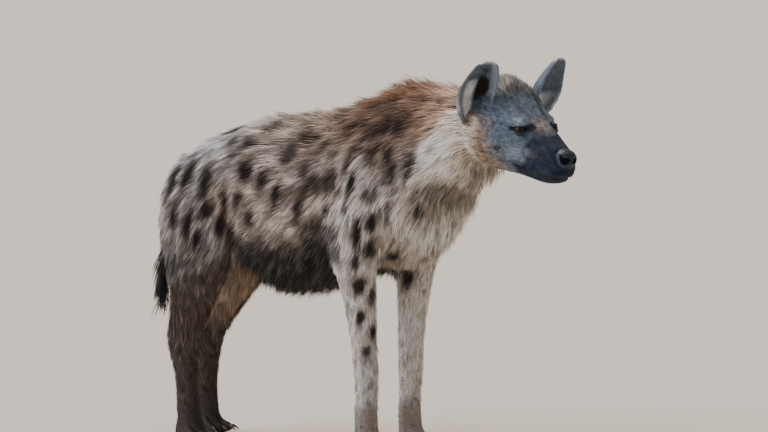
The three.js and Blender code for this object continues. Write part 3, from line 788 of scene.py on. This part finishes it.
def withers_and_neck(places, ways, part):
    """Brown and tan above, cream on the side of the neck, grey under the throat, a pale breast, and painted
    shade behind the elbow.
    """
    ahead, _, height = places.T / MM
    cloud, patchy = clouds(places)
    top = ease(ways[:, 2], 0.15, 0.75)
    body = part("trunk", "neck")
    cream_top = 665 + 0.72 * (ahead - 216) + 14 * cloud + 8 * patchy
    cream_foot = 604 + 0.16 * np.maximum(ahead - 290, 0) + 14 * cloud + 10 * patchy
    above_cream = ease(height - cream_top, -22, 32)
    front = ease(ahead + 10 * patchy, 186, 236) * body
    side = front * (1 - above_cream)
    throat = front * (1 - ease(height - cream_foot, -26, 16)) * ease(height, 500, 545)
    # Painted shade in the fold behind the elbow, where the foreleg meets the trunk, kept off the upper
    # faces
    shade_behind_elbow = band(ahead, -70, 18, 24) * band(height, 425, 492, 26) * (1 - top)
    return (
        ("#94745c", 0.75 * body * band(ahead, 40, 240, 60) * ease(height - 25 * cloud, 655, 720)),
        ("#bc9c81", 0.85 * front * above_cream),
        ("#4b3426", 0.75 * body * above_cream * band(ahead, 60, 260, 40) * ease(patchy, 0.0, 0.7)),
        ("#fff4e6", 0.95 * side * ease(height - cream_foot, -30, 36)),
        ("#ecd6bd", 0.75 * side * ease(ahead, 245, 310) * ease(height, 590, 640)),
        ("#5f564d", 0.8 * throat),
        ("#724c31", 0.85 * body * band(ahead, 20, 175, 50) * ease(height - 20 * cloud, 715, 780)),
        ("#43342a", 0.6 * body * mound((ahead, height), (135, 740), (50, 24))),
        ("#f0e7db", 0.85 * body * mound((ahead, height), (214, 480), (54, 42))),
        ("#eae0d4", 0.8 * body * mound((ahead, height), (165, 558), (46, 46))),
        ("#34302e", 0.8 * shade_behind_elbow),
    )


def belly_and_legs(places, ways, part):
    """A black belly, deepened by painted shade under the body, black lower thighs, tan inside the hind
    legs, and painted shade in the furrows between the toes.
    """
    ahead, left, height = places.T / MM
    _, patchy = clouds(places)
    belly_black_and_shade = (1 - ease(height + 10 * patchy, 415, 510)) * (1 - ease(ahead, 30, 120)) * ease(ahead, -520, -440)
    low_thigh = part("thigh") * (1 - ease(height + 10 * patchy, 375, 470))
    inward = ease(-ways[:, 1] * np.sign(left), 0.0, 0.5)
    inner = part("thigh", "shank") * inward * band(height, 300, 420, 90)
    return (
        # the belly's own black, deepened as painted shade under the body
        ("#0f0c0b", 0.97 * part("trunk") * belly_black_and_shade),
        ("#2e2723", 0.9 * low_thigh),
        ("#ab9178", 0.75 * inner),
        # painted shade in the furrows between the toes
        ("#1d1815", 0.7 * part("forepaw", "hindpaw") * toe_gaps(places)),
    )


def face(places, freckle):
    """A grey face with a blue tint of painted sky light: dark muzzle, pale and orange cheeks, brown between
    the eyes, stripes of painted shade on the brow, and the crown lightened by painted backlight.
    """
    ahead, left, above = on_head(places)
    aside = np.abs(left)
    mottle = ripple(places, 0.022, 8)
    level = (ahead, above)
    behind_from = -47 - 0.3 * (above + 40)
    behind = ease(behind_from - ahead + 12 * mottle, -30, 36) * (1 - ease(above, 10, 45))
    edge = np.interp(-above, DARK_MUZZLE[:, 0], DARK_MUZZLE[:, 1])
    edge = edge + 34 * hill(left, 26) * ease(above, -22, -6)
    darkness = ease(ahead - edge + 7 * mottle, -16, 24)
    inner_dark = sum(mound((ahead, left, above), (29, side * 26, -6), (11, 10, 13)) for side in (-1, 1))
    gape = hill(ahead - 6, 15) * hill(above + 74 + 0.5 * (ahead - 4), 9)
    between = mound((ahead, left), (24, -4), (17, 22))
    between = between * ease(above + 8 * mottle, -14, 4) * (1 - ease(above, 20, 34))
    # Painted shade in stripes on the brow, full on the left side and half on the right
    stripe_middle = 20 + 0.35 * (above - 25)
    brow_stripe_shade = np.maximum(hill(left - stripe_middle, 6.5), 0.5 * hill(left + stripe_middle, 6.5))
    brow_stripe_shade = brow_stripe_shade * band(above, 22, 68, 14) * ease(-ahead, -16, 2)
    return (
        ("#8b949d", 0.62 * mound(level, (-2, -44), (24, 20))),
        ("#9f8269", 0.9 * behind * ease(aside, 25, 55)),
        ("#f0dfc8", 0.85 * behind * ease(-ahead + 0.3 * above, 74, 104)),
        # painted backlight: the crown lighter
        ("#a2978b", 0.7 * ease(above, 60, 90) * ease(-ahead, 40, 80)),
        ("#1c1a1a", 0.95 * mound(level, (-27, -36), (8, 7)) * ease(aside, 50, 70)),
        # the muzzle's own black, tinted blue as painted sky light
        ("#081728", (0.92 + 0.06 * mottle) * darkness),
        ("#0c151e", 0.8 * inner_dark),
        ("#6f6058", 0.18 * mound(level, (40, -46), (16, 14))),
        ("#06080c", 0.9 * gape),
        ("#947c6a", (0.62 + 0.9 * freckle) * between),
        ("#1f2226", 0.8 * brow_stripe_shade),
        ("#3a4652", 0.5 * mound(level, (14, -20), (14, 11))),
        ("#4a4642", 0.6 * ease(-ahead, 20, 50) * ease(above, 50, 80) * ease(mottle, -0.2, 0.6)),
    )


def eye_surround(places, eye, side):
    """A pale crescent over one eye, black lids, and black at its inner corner."""
    at = on_head(places)
    reach, across, height, _ = round_eye(places, eye, side)
    out, inner, rise = eye_axes(side)
    offset = (places - eye) / MM
    crescent = mound((offset @ rise, offset @ inner), (18, -6), (7.5, 16)) * ease(offset @ out, -8, 4)
    narrowing = 1 - (np.abs(across) / 96) ** 1.7
    on_lids = ease(np.minimum(23 * narrowing - height, height + 74 * narrowing), -7, 6)
    tear = egg(at, (21, side * 30, 7), (9, 9, 8))
    duct = egg(at, (16, side * 37, 4), (7, 6, 7))
    return (
        ("#a3aeb9", 0.65 * crescent),
        ("#07080a", 0.97 * (1 - ease(reach, 20, 27)) * on_lids),
        ("#07090c", 0.93 * (1 - ease(np.minimum(tear, duct) ** 2, 0.5, 2.6))),
    )


def ears(places, ways, on_ears):
    """Grey cups darkened by painted shade, a black opening of painted shade, a pale streak, a rim of
    painted light, and dull brown backs.
    """
    shade, rim, hole, streak, front_lobe = ear_shares(places, ways, on_ears)
    return (
        ("#3b3a3a", 0.75 * on_ears * ease(-(ways @ AHEAD), 0.1, 0.7)),
        # painted shade in the cup
        ("#2a2c30", shade * (0.68 + 0.2 * ripple(places, 0.022, 8))),
        ("#7b828d", 0.75 * front_lobe),
        ("#fbfcff", 0.97 * streak),
        # painted shade: the black opening
        ("#020202", 0.99 * hole),
        # painted light on the rim
        ("#b9c3cd", 0.6 * rim),
    )


def markings(places, ways, share_rows):
    """The coat's colour at any places, with the surface's directions and zone shares there."""

    def part(*names):
        return sum(share_rows[:, ZONE_NAMES.index(name)] for name in names)

    colour = share_rows @ zone_colours
    for layers in (flank_and_rump, withers_and_neck, belly_and_legs):
        colour = smudge(colour, *layers(places, ways, part))
    on_face = np.clip(part("head") * 1.4, 0, 1)
    freckle = 0.20 * ripple(places, 0.009, 9) + 0.16 * ripple(places, 0.017, 10)
    layers = [*face(places, freckle)]
    for eye, side in BOTH_EYES:
        layers += eye_surround(places, eye, side)
    colour = smudge(colour, *((code, share * on_face) for code, share in layers))
    colour = colour * (1 + freckle * on_face)[:, None]
    return smudge(colour, *ears(places, ways, part("ear")))


def spotted(colour, places):
    """The colour with the spots over it: near black with brown edges, and browner along the back."""
    cover, halo = spot_cover(places)
    high = ease(places[:, 2], 0.60, 0.72)
    behind_neck = 1 - ease(places[:, 0], 0.185, 0.215)
    return smudge(
        colour,
        ("#503c2e", 0.6 * halo * behind_neck),
        ("#2c2019", 0.97 * cover * high),
        ("#17120f", 0.97 * cover * (1 - 0.55 * high)),
    )


def lower_lid(eye, side, inside, near):
    """The moist grey margin under the eyeball."""
    _, across, height, _ = round_eye(points, eye, side)
    below = 1 - ease(height, -26, -10)
    middle_part = 1 - ease(np.abs(across - 10), 50, 84)
    return near * band(-inside, 1.0, 5.0, 1.0) * below * middle_part


LID_EDGE = 3.0  # mm of bare skin round each opening
rim = sum(near * hill(np.minimum(inside, 0), LID_EDGE) for _, _, inside, near in lids)
moist = sum(lower_lid(*lid) for lid in lids)
lips = on_front * hill(w - mouth_height(u), 3.5)
bare = np.clip(is_nose + rim + lips + moist, 0, 1)
skin_colours = smudge(
    spotted(markings(points, normals, shares), points),
    # the nose's dark leather, tinted blue as a painted sky reflection
    ("#182935", is_nose),
    # painted shade along the pad's lower and outer margin, not its top
    ("#070d13", 0.85 * is_nose * ease(nose_ring, 0.84, 1.02) * (w < -46)),
    # painted highlight on the rim round each nostril
    ("#34536a", 0.75 * nostril_rim_highlight),
    ("#090b0e", 0.95 * rim + 0.9 * lips),
    ("#2a3e4f", 0.8 * moist),
    # painted shade: black deep in the nostrils
    ("#020202", nostril_shade),
)
# Painted shade: the skin is darkened under the long coat, where the hair shades it
UNDER_COAT_SHADE = 0.35  # the skin is this much darker under the long coat
skin_colours = skin_colours * (1 - UNDER_COAT_SHADE * ease(zoned(DEPTH), 4, 10))[:, None]

# Materials


def add(tree, kind, settings=None, links=None):
    """Adds a node, sets its settings and sockets, and joins its inputs to other nodes' outputs."""
    node = tree.nodes.new(kind)
    for key, value in (settings or {}).items():
        if isinstance(key, str) and hasattr(node, key):
            setattr(node, key, value)
        else:
            node.inputs[key].default_value = value
    for key, source in (links or {}).items():
        tree.links.new(source, node.inputs[key])
    return node


def material(name):
    made = bpy.data.materials.new(name)
    made.use_nodes = True
    made.node_tree.nodes.clear()
    return made, made.node_tree


def finish_with(tree, shader):
    add(tree, "ShaderNodeOutputMaterial", None, {"Surface": shader.outputs[0]})


NAP_LENGTH = 7.7 * MM  # short hairs, seen as fine strokes
NAP_WIDTH = 1.6 * MM
PEBBLE = 1.9 * MM  # the grain of the nose's leather
HORN_STREAK = 2.5 * MM


def short_fur_and_skin():
    """Hide with short dense hair, matt and a little rough; where it is bare, moist pebbled leather."""
    made, tree = material("short fur over hide")
    place = add(tree, "ShaderNodeTexCoord")
    colour = add(tree, "ShaderNodeAttribute", {"attribute_name": "markings"})
    bare_share = add(tree, "ShaderNodeAttribute", {"attribute_name": "bare"})
    hair = (1 / NAP_LENGTH, 1 / NAP_WIDTH, 1 / NAP_WIDTH)
    comb = add(tree, "ShaderNodeMapping", {"Scale": hair}, {"Vector": place.outputs["Object"]})
    nap = add(tree, "ShaderNodeTexNoise", {"Scale": 1.0, "Detail": 3.0}, {"Vector": comb.outputs[0]})
    pebble = add(tree, "ShaderNodeTexVoronoi", {"Scale": 1 / PEBBLE}, {"Vector": place.outputs["Object"]})
    relief = add(
        tree, "ShaderNodeMix", {"data_type": "FLOAT"},
        {0: bare_share.outputs["Fac"], 2: nap.outputs["Fac"], 3: pebble.outputs["Distance"]},
    )
    strength = add(
        tree, "ShaderNodeMapRange", {"To Min": 0.6, "To Max": 0.25}, {"Value": bare_share.outputs["Fac"]}
    )
    bump = add(
        tree, "ShaderNodeBump", {"Distance": 0.9 * MM},
        {"Height": relief.outputs[0], "Strength": strength.outputs[0]},
    )
    flecks = add(
        tree, "ShaderNodeMapRange", {"From Min": 0.3, "From Max": 0.7, "To Min": 0.55, "To Max": 1.5},
        {"Value": nap.outputs["Fac"]},
    )
    even = add(
        tree, "ShaderNodeMix", {"data_type": "FLOAT", 3: 1.0},
        {0: bare_share.outputs["Fac"], 2: flecks.outputs[0]},
    )
    grizzled = add(
        tree, "ShaderNodeVectorMath", {"operation": "SCALE"},
        {0: colour.outputs["Color"], "Scale": even.outputs[0]},
    )
    gloss = add(
        tree, "ShaderNodeMapRange", {"To Min": 0.85, "To Max": 0.5}, {"Value": bare_share.outputs["Fac"]}
    )
    shader = add(
        tree, "ShaderNodeBsdfPrincipled", {"Specular IOR Level": 0.3},
        {"Base Color": grizzled.outputs[0], "Roughness": gloss.outputs[0], "Normal": bump.outputs[0]},
    )
    finish_with(tree, shader)
    return made


def guard_hair():
    """Coarse dry guard hair: soft and mostly matt, with a faint sheen along its edges."""
    made, tree = material("guard hair")
    colour = add(tree, "ShaderNodeAttribute", {"attribute_name": "markings"})
    shader = add(
        tree, "ShaderNodeBsdfPrincipled", {"Roughness": 0.7, "Specular IOR Level": 0.18},
        {"Base Color": colour.outputs["Color"]},
    )
    finish_with(tree, shader)
    return made


def wet_eye():
    """A wet cornea over a dark iris: deep colour with one sharp highlight."""
    made, tree = material("wet eye")
    colour = add(tree, "ShaderNodeAttribute", {"attribute_name": "markings"})
    shader = add(
        tree, "ShaderNodeBsdfPrincipled",
        {"Roughness": 0.3, "Specular IOR Level": 0.15, "Coat Weight": 0.22, "Coat Roughness": 0.04},
        {"Base Color": colour.outputs["Color"]},
    )
    finish_with(tree, shader)
    return made


def worn_horn():
    """Claw horn, scuffed by walking: dark brown with a dull shine and fine streaks along it."""
    made, tree = material("worn horn")
    place = add(tree, "ShaderNodeTexCoord")
    here = {"Vector": place.outputs["Object"]}
    streak = add(tree, "ShaderNodeTexNoise", {"Scale": 1 / HORN_STREAK}, here)
    tone = add(tree, "ShaderNodeValToRGB", None, {"Fac": streak.outputs["Fac"]})
    tone.color_ramp.elements[0].color = (*linear("#221d19"), 1)
    tone.color_ramp.elements[1].color = (*linear("#5a4e40"), 1)
    tint = {"Base Color": tone.outputs["Color"]}
    shader = add(tree, "ShaderNodeBsdfPrincipled", {"Roughness": 0.45}, tint)
    finish_with(tree, shader)
    return made


HIDE = short_fur_and_skin()
HAIR = guard_hair()
EYE = wet_eye()
HORN = worn_horn()


def paint(mesh, name, colours):
    layer = mesh.attributes.new(name, "FLOAT_COLOR", "POINT")
    rows = np.concatenate([colours, np.ones((len(colours), 1))], axis=1)
    layer.data.foreach_set("color", rows.astype(np.float32).ravel())


def placed(name, mesh, finish, nodes=()):
    """One piece of the animal, in its finish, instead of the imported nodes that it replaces."""
    thing = linked(name, mesh)
    mesh.materials.clear()
    mesh.materials.append(finish)
    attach(thing, "root")
    if nodes:
        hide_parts(*nodes)
    return thing


paint(skin_mesh, "markings", np.clip(skin_colours, 0, 1))
bare_layer = skin_mesh.attributes.new("bare", "FLOAT", "POINT")
bare_layer.data.foreach_set("value", bare.astype(np.float32))
skin_mesh.shade_smooth()
placed("skin", skin_mesh, HIDE, FLESH)

# Eyes: a globe with its iris and pupil turned the way the animal looks

GAZE_OUTWARD = 33  # degrees from straight ahead
IRIS = 9.2  # mm across the eye from the middle of the pupil to the iris's edge
PUPIL = 4.2
BACK_OF_EYE = 99  # stands for a distance far past the iris


def make_eye(node, eye, side):
    globe = bmesh.new()
    bmesh.ops.create_uvsphere(globe, u_segments=96, v_segments=64, radius=EYE_RADIUS)
    mesh = finished(globe, node + "_globe")
    places = read(mesh, "vertices", "co", 3)
    turn = math.radians(GAZE_OUTWARD)
    gaze = unit(AHEAD * math.cos(turn) + LEFTWARD * side * math.sin(turn) - UP * 0.05)
    off = np.linalg.norm(np.cross(places, gaze), axis=1) / MM
    off = np.where(places @ gaze > 0, off, BACK_OF_EYE)
    around = ripple(unit(np.cross(places, gaze)), 0.5, 2)
    colour = smudge(
        np.repeat(linear("#0d0806")[None], len(places), axis=0),
        ("#43200f", (1 - ease(off, IRIS - 1.0, IRIS)) * (0.75 + 0.25 * around)),
        ("#1a0c07", hill(off - IRIS + 0.8, 1.3)),
        ("#040303", 1 - ease(off, PUPIL - 0.4, PUPIL + 0.4)),
    )
    paint(mesh, "markings", np.clip(colour, 0, 1))
    mesh.vertices.foreach_set("co", (places + eye).ravel())
    mesh.shade_smooth()
    placed(node + "_ball", mesh, EYE, (node,))


make_eye("eye_right", RIGHT_EYE, -1)
make_eye("eye_left", LEFT_EYE, 1)

# Claws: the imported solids, rounded and worn blunt

CLAW_LENGTH = 0.86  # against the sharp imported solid
CLAW_GIRTH = 1.16


def make_claws():
    nodes = sorted(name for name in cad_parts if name.startswith("claw"))
    together = bmesh.new()
    for node in nodes:
        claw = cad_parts[node].data.copy()
        tip = max((vert.co for vert in claw.vertices), key=lambda at: at.x - at.z).copy()
        root = max((vert.co for vert in claw.vertices), key=lambda at: (at - tip).length).copy()
        axis = (tip - root).normalized()
        for vert in claw.vertices:
            along = axis * (vert.co - root).dot(axis)
            vert.co = root + along * CLAW_LENGTH + (vert.co - root - along) * CLAW_GIRTH
        together.from_mesh(claw)
        bpy.data.meshes.remove(claw)
    bmesh.ops.remove_doubles(together, verts=together.verts, dist=0.01 * MM)
    mesh = finished(together, "claws")
    mesh.shade_smooth()
    claws = placed("claws", mesh, HORN, nodes)
    round_off = claws.modifiers.new("round off", "SUBSURF")
    round_off.levels = 2
    round_off.render_levels = 2


make_claws()

# Coat: tapering locks of guard hair, joined in one mesh for each part of the body

no_hair = (np.clip(is_nose + rim, 0, 1) > 0.4) | (lips > 0.6) | (moist > 0.3)
for _, _, inside, near in lids:
    no_hair |= (inside > -1.5) & (near > 0.5)

face_area = np.linalg.norm(face_normals(points), axis=1) / 2
face_middle = points[corners].mean(axis=1)
face_zone = shares[corners].mean(axis=1).argmax(axis=1)
face_bare = no_hair[corners].any(axis=1)
PATCH = 0.003  # side of a lock's own patch on the unwrap
FLOOR_GAP = 0.5 * MM  # the lowest hair of the paws stops this far over the floor
ROOT_DEPTH_IN_SKIN = 0.8 * MM
GIRTH = {2: (0.75, 0.8), 3: (0.75, 1.0, 0.6)}  # a lock's width at each ring, by its number of rings


def unwrapped(faces):
    """The corners of the chosen faces on a flat unwrap of the skin that fills the unit square."""
    used, local = np.unique(corners[faces], return_inverse=True)
    mesh = bpy.data.meshes.new("cloth")
    mesh.from_pydata(points[used].tolist(), [], local.reshape(-1, 3).tolist())
    thing = linked("cloth", mesh)
    bpy.ops.object.select_all(action="DESELECT")
    thing.select_set(True)
    bpy.context.view_layer.objects.active = thing
    bpy.ops.object.mode_set(mode="EDIT")
    bpy.ops.mesh.select_all(action="SELECT")
    bpy.ops.uv.smart_project(angle_limit=math.radians(70), island_margin=0.004, scale_to_bounds=True)
    bpy.ops.object.mode_set(mode="OBJECT")
    flat = np.empty(len(faces) * 6)
    mesh.uv_layers.active.data.foreach_get("uv", flat)
    bpy.data.objects.remove(thing)
    bpy.data.meshes.remove(mesh)
    return flat.reshape(-1, 3, 2)


def lock_pattern(rings):
    """The triangles of one lock, from its three-cornered rings to its tip."""
    pattern = []
    for ring in range(rings - 1):
        for k in range(3):
            a, b = ring * 3 + k, ring * 3 + (k + 1) % 3
            pattern += [(a, b, b + 3), (a, b + 3, a + 3)]
    last = (rings - 1) * 3
    pattern += [(last + k, last + (k + 1) % 3, rings * 3) for k in range(3)]
    return np.array(pattern)


def plain_mesh(name, places, triangles):
    mesh = bpy.data.meshes.new(name)
    mesh.vertices.add(len(places))
    mesh.vertices.foreach_set("co", places.astype(np.float32).ravel())
    mesh.loops.add(triangles.size)
    mesh.loops.foreach_set("vertex_index", triangles.astype(np.int32).ravel())
    mesh.polygons.add(len(triangles))
    mesh.polygons.foreach_set("loop_start", np.arange(0, triangles.size, 3, dtype=np.int32))
    mesh.update(calc_edges=True)
    return mesh


def strewn(faces, count):
    """Random places on the faces: the face each is on, and how near it is to each of its corners."""
    area = face_area[faces]
    choice = rng.choice(len(faces), count, p=area / area.sum())
    mixer = rng.random((count, 2))
    over = mixer.sum(axis=1) > 1
    mixer[over] = 1 - mixer[over]
    return choice, np.concatenate([1 - mixer.sum(axis=1, keepdims=True), mixer], axis=1)


def leaders(root, clump):
    """The nearest leader of each lock, where one lock in every so many is a leader."""
    heads = np.arange(0, len(root), clump)
    tree = KDTree(len(heads))
    for number, place in enumerate(root[heads]):
        tree.insert(place, number)
    tree.balance()
    return heads[[tree.find(place)[1] for place in root]]


def weathered(colour, root, leader, contrast, pale):
    """Each lock's own colour and brightness: one in five is dark, and one in four is worn and pale."""
    count = len(root)
    streaky = rng.normal(0, 1, count)
    mood = contrast * (0.28 * streaky[leader] + rng.normal(0, 0.12, count) + 0.22 * ripple(root, 0.028, 41))
    kind = rng.random(count)
    kind = np.where(rng.random(count) < 0.5, kind[leader], kind)
    light = 1.5 * colour + linear(pale)
    colour = mixed(colour, colour * 0.3, min(1, 0.75 * contrast) * (kind < 0.20))
    colour = mixed(colour, light, min(1, 0.85 * contrast) * (kind > 0.76))
    return colour, np.clip(1 + mood, 0.35, 2.0)


def grow(
    name, faces, spacing, rings, clump=11, pull=0.5, dappled=True, contrast=1.0, pale="#464646"
):
    """One piece of coat: a lock every spacing mm on average, each with some rings and a tip.

    Every so many locks (clump) has a leader, towards which the tips round it pull. Contrast is how much
    the locks differ in colour, and pale is what the light tips add to it.
    """
    faces = faces[~face_bare[faces]]
    thin = 1.0
    count = int(int(face_area[faces].sum() / (spacing * MM) ** 2) / thin**2)
    choice, weights = strewn(faces, count)
    three = corners[faces[choice]]

    def here(values):
        rows = values[three]
        if rows.ndim == 2:
            return np.sum(rows * weights, axis=1)
        return np.sum(rows * weights[:, :, None], axis=1)

    flat = unwrapped(faces)[choice]
    flat = np.sum(flat * weights[:, :, None], axis=1) * (1 - 2 * PATCH) + PATCH / 2
    normal = unit(here(normals))
    root = here(points) - normal * ROOT_DEPTH_IN_SKIN
    length = here(hair_length) * rng.uniform(0.72, 1.22, count) * MM
    lift = np.radians(here(hair_lift) * rng.uniform(0.6, 1.4, count))
    half_width = here(hair_width) * rng.uniform(0.8, 1.2, count) * MM * thin
    way = along_surface(here(lie), normal)
    swing = np.radians(14 * ripple(root, 0.11, 21) + 10 * ripple(root, 0.035, 22) + rng.normal(0, 7, count))
    sideways = np.cross(normal, way)
    way = way * np.cos(swing)[:, None] + sideways * np.sin(swing)[:, None]
    sideways = np.cross(normal, way)
    droop = 0.08 + 0.07 * here(fringe)[:, None]

    def curve(s):
        rise = np.sin(lift) * 1.25 * s - 0.30 * np.sin(lift) * s * s
        run = np.cos(lift) * s
        return root + length[:, None] * (way * run[:, None] + normal * rise[:, None] - UP * droop * s * s)

    leader = leaders(root, clump)
    gather = pull * rng.uniform(0.6, 1.2, count)
    colour, grain = weathered(markings(curve(0.6), normal, here(shares)), root, leader, contrast, pale)
    steps = np.linspace(0, 1, rings + 1)
    stations = []
    tones = []
    ups = []
    for step, s in enumerate(steps):
        own = curve(s)
        share = gather * s**1.4
        centre = own + (own[leader] - own) * share[:, None]
        tone = spotted(colour, own) if dappled else colour
        tone = tone * (grain * (0.55 + 0.6 * min(1, s * 1.5)))[:, None]
        if step == rings:
            stations.append(centre[:, None])
            tones.append(tone[:, None])
            ups.append(normal[:, None])
            continue
        width = half_width[:, None] * GIRTH[rings][step]
        trio = [centre + sideways * width, centre + normal * width * 0.7, centre - sideways * width]
        stations.append(np.stack(trio, axis=1))
        tones.append(np.repeat(tone[:, None], 3, axis=1))
        # The locks are shaded as one nap, so their normals keep near the skin's
        lean = [sideways * 0.7 + normal, normal, normal - sideways * 0.7]
        ups.append(np.stack([unit(one) for one in lean], axis=1))
    places = np.concatenate(stations, axis=1)
    places[:, :, 2] = np.maximum(places[:, :, 2], FLOOR_GAP)
    tones = np.concatenate(tones, axis=1)
    ups = np.concatenate(ups, axis=1)
    first_vertex = np.arange(count) * places.shape[1]
    triangles = (lock_pattern(rings)[None] + first_vertex[:, None, None]).reshape(-1, 3)
    mesh = plain_mesh(name, places.reshape(-1, 3), triangles)
    paint(mesh, "markings", np.clip(tones.reshape(-1, 3), 0, 1))
    spread = [(k / 2, s) for s in steps[:-1] for k in range(3)]
    spread.append((0.5, 1.0))
    where = flat[:, None] + np.array(spread)[None] * PATCH
    layer = mesh.uv_layers.new(name="OFBake")
    layer.data.foreach_set("uv", where.reshape(-1, 2)[triangles.ravel()].astype(np.float32).ravel())
    mesh.shade_smooth()
    mesh.normals_split_custom_set_from_vertices(unit(ups.reshape(-1, 3)))
    placed(name, mesh, HAIR)


def faces_of(zones_wanted, test=None):
    numbers = [ZONE_NAMES.index(name) for name in zones_wanted]
    chosen = np.isin(face_zone, numbers)
    if test is not None:
        chosen &= test(face_middle)
    return np.flatnonzero(chosen)


LENGTHS = {"rump": (-9, -0.33), "flank": (-0.33, -0.08), "shoulder": (-0.08, 9)}  # of the trunk, along X
for name, (low, high) in LENGTHS.items():
    for side, sign in SIDES:

        def in_piece(at):
            return (at[:, 0] > low) & (at[:, 0] <= high) & (at[:, 1] * sign > 0)

        grow(f"coat_{name}_{side}", faces_of(("trunk",), in_piece), 2.75, 2)

for side, sign in SIDES:
    chosen = faces_of(("neck",), lambda at: at[:, 1] * sign > 0)
    grow(f"coat_neck_{side}", chosen, 2.6, 3, contrast=0.7, pale="#5c5a57")
# The head's and ears' light hair tips are tinted blue as painted sky light
for side, sign in SIDES:
    chosen = faces_of(("head",), lambda at: (at - EYES) @ LEFTWARD * sign > 0)
    grow(f"coat_head_{side}", chosen, 2.1, 2, clump=4, pull=0.3, dappled=False, pale="#222d38")
grow(
    "coat_ears", faces_of(("ear",)), 3.0, 2, clump=6, pull=0.3, dappled=False, contrast=0.9,
    pale="#35404a",
)
grow("coat_forelegs", faces_of(("upper_foreleg", "forearm", "forepaw")), 3.8, 2)
grow("coat_thighs", faces_of(("thigh",)), 3.2, 2)
grow("coat_hocks", faces_of(("shank", "pastern", "hindpaw")), 4.2, 2)
grow("coat_tail", faces_of(("tail", "tuft")), 3.4, 3)

# Floor, light and camera


def make_stage():
    disc = bmesh.new()
    bmesh.ops.create_circle(disc, cap_ends=True, radius=80, segments=64)
    floor = linked("floor", finished(disc, "floor"))
    made, tree = material("pale studio floor")
    shader = add(
        tree, "ShaderNodeBsdfPrincipled",
        {"Base Color": (*linear("#d9d2c6"), 1), "Roughness": 0.9, "Specular IOR Level": 0.1},
    )
    finish_with(tree, shader)
    floor.data.materials.append(made)
    world = bpy.data.worlds.new("studio")
    world.use_nodes = True
    sky = world.node_tree.nodes["Background"]
    sky.inputs["Color"].default_value = (*linear("#e6e6ea"), 1)
    sky.inputs["Strength"].default_value = 0.54
    bpy.context.scene.world = world


def lamp(name, kind, energy, tint, place, aim, **more):
    light = bpy.data.lights.new(name, kind)
    light.energy = energy
    light.color = tuple(linear(tint))
    for key, value in more.items():
        setattr(light, key, value)
    thing = linked(name, light)
    thing.location = place
    thing.rotation_mode = "QUATERNION"
    thing.rotation_quaternion = (Vector(aim) - Vector(place)).to_track_quat("-Z", "Y")


# The photograph's view: from the animal's right side round towards its front, a little down, by a long lens
AZIMUTH = math.radians(44)
ELEVATION = math.radians(5)
DISTANCE = 16.0
LENS = 352.5
EYES_TO_TARGET = Vector((0.626, -0.024, 0.316))  # the target is on the trunk's middle line, 0.4 m up
SHIFT_RIGHT = 0.1234
SHIFT_UP = 0.0996


def make_camera():
    back = Vector((
        math.sin(AZIMUTH) * math.cos(ELEVATION),
        -math.cos(AZIMUTH) * math.cos(ELEVATION),
        math.sin(ELEVATION),
    ))
    right = Vector((math.cos(AZIMUTH), math.sin(AZIMUTH), 0))
    above = back.cross(right)
    target = Vector(EYES) - EYES_TO_TARGET
    data = bpy.data.cameras.new("view")
    data.lens = LENS
    data.sensor_width = 36
    data.clip_end = 200
    view = linked("view", data)
    view.location = target + back * DISTANCE
    aim = target + right * SHIFT_RIGHT + above * SHIFT_UP
    view.rotation_mode = "QUATERNION"
    view.rotation_quaternion = (aim - view.location).to_track_quat("-Z", "Y")
    bpy.context.scene.camera = view


make_stage()
lamp("high sun", "SUN", 2.6, "#fff0dc", (-2.5, 0.8, 5), (0, 0, 0.4), angle=math.radians(12))
lamp("open sky", "SUN", 2.15, "#e6edff", (-2.5, -4.5, 3.5), (0, 0, 0.4), angle=math.radians(50))
make_camera()
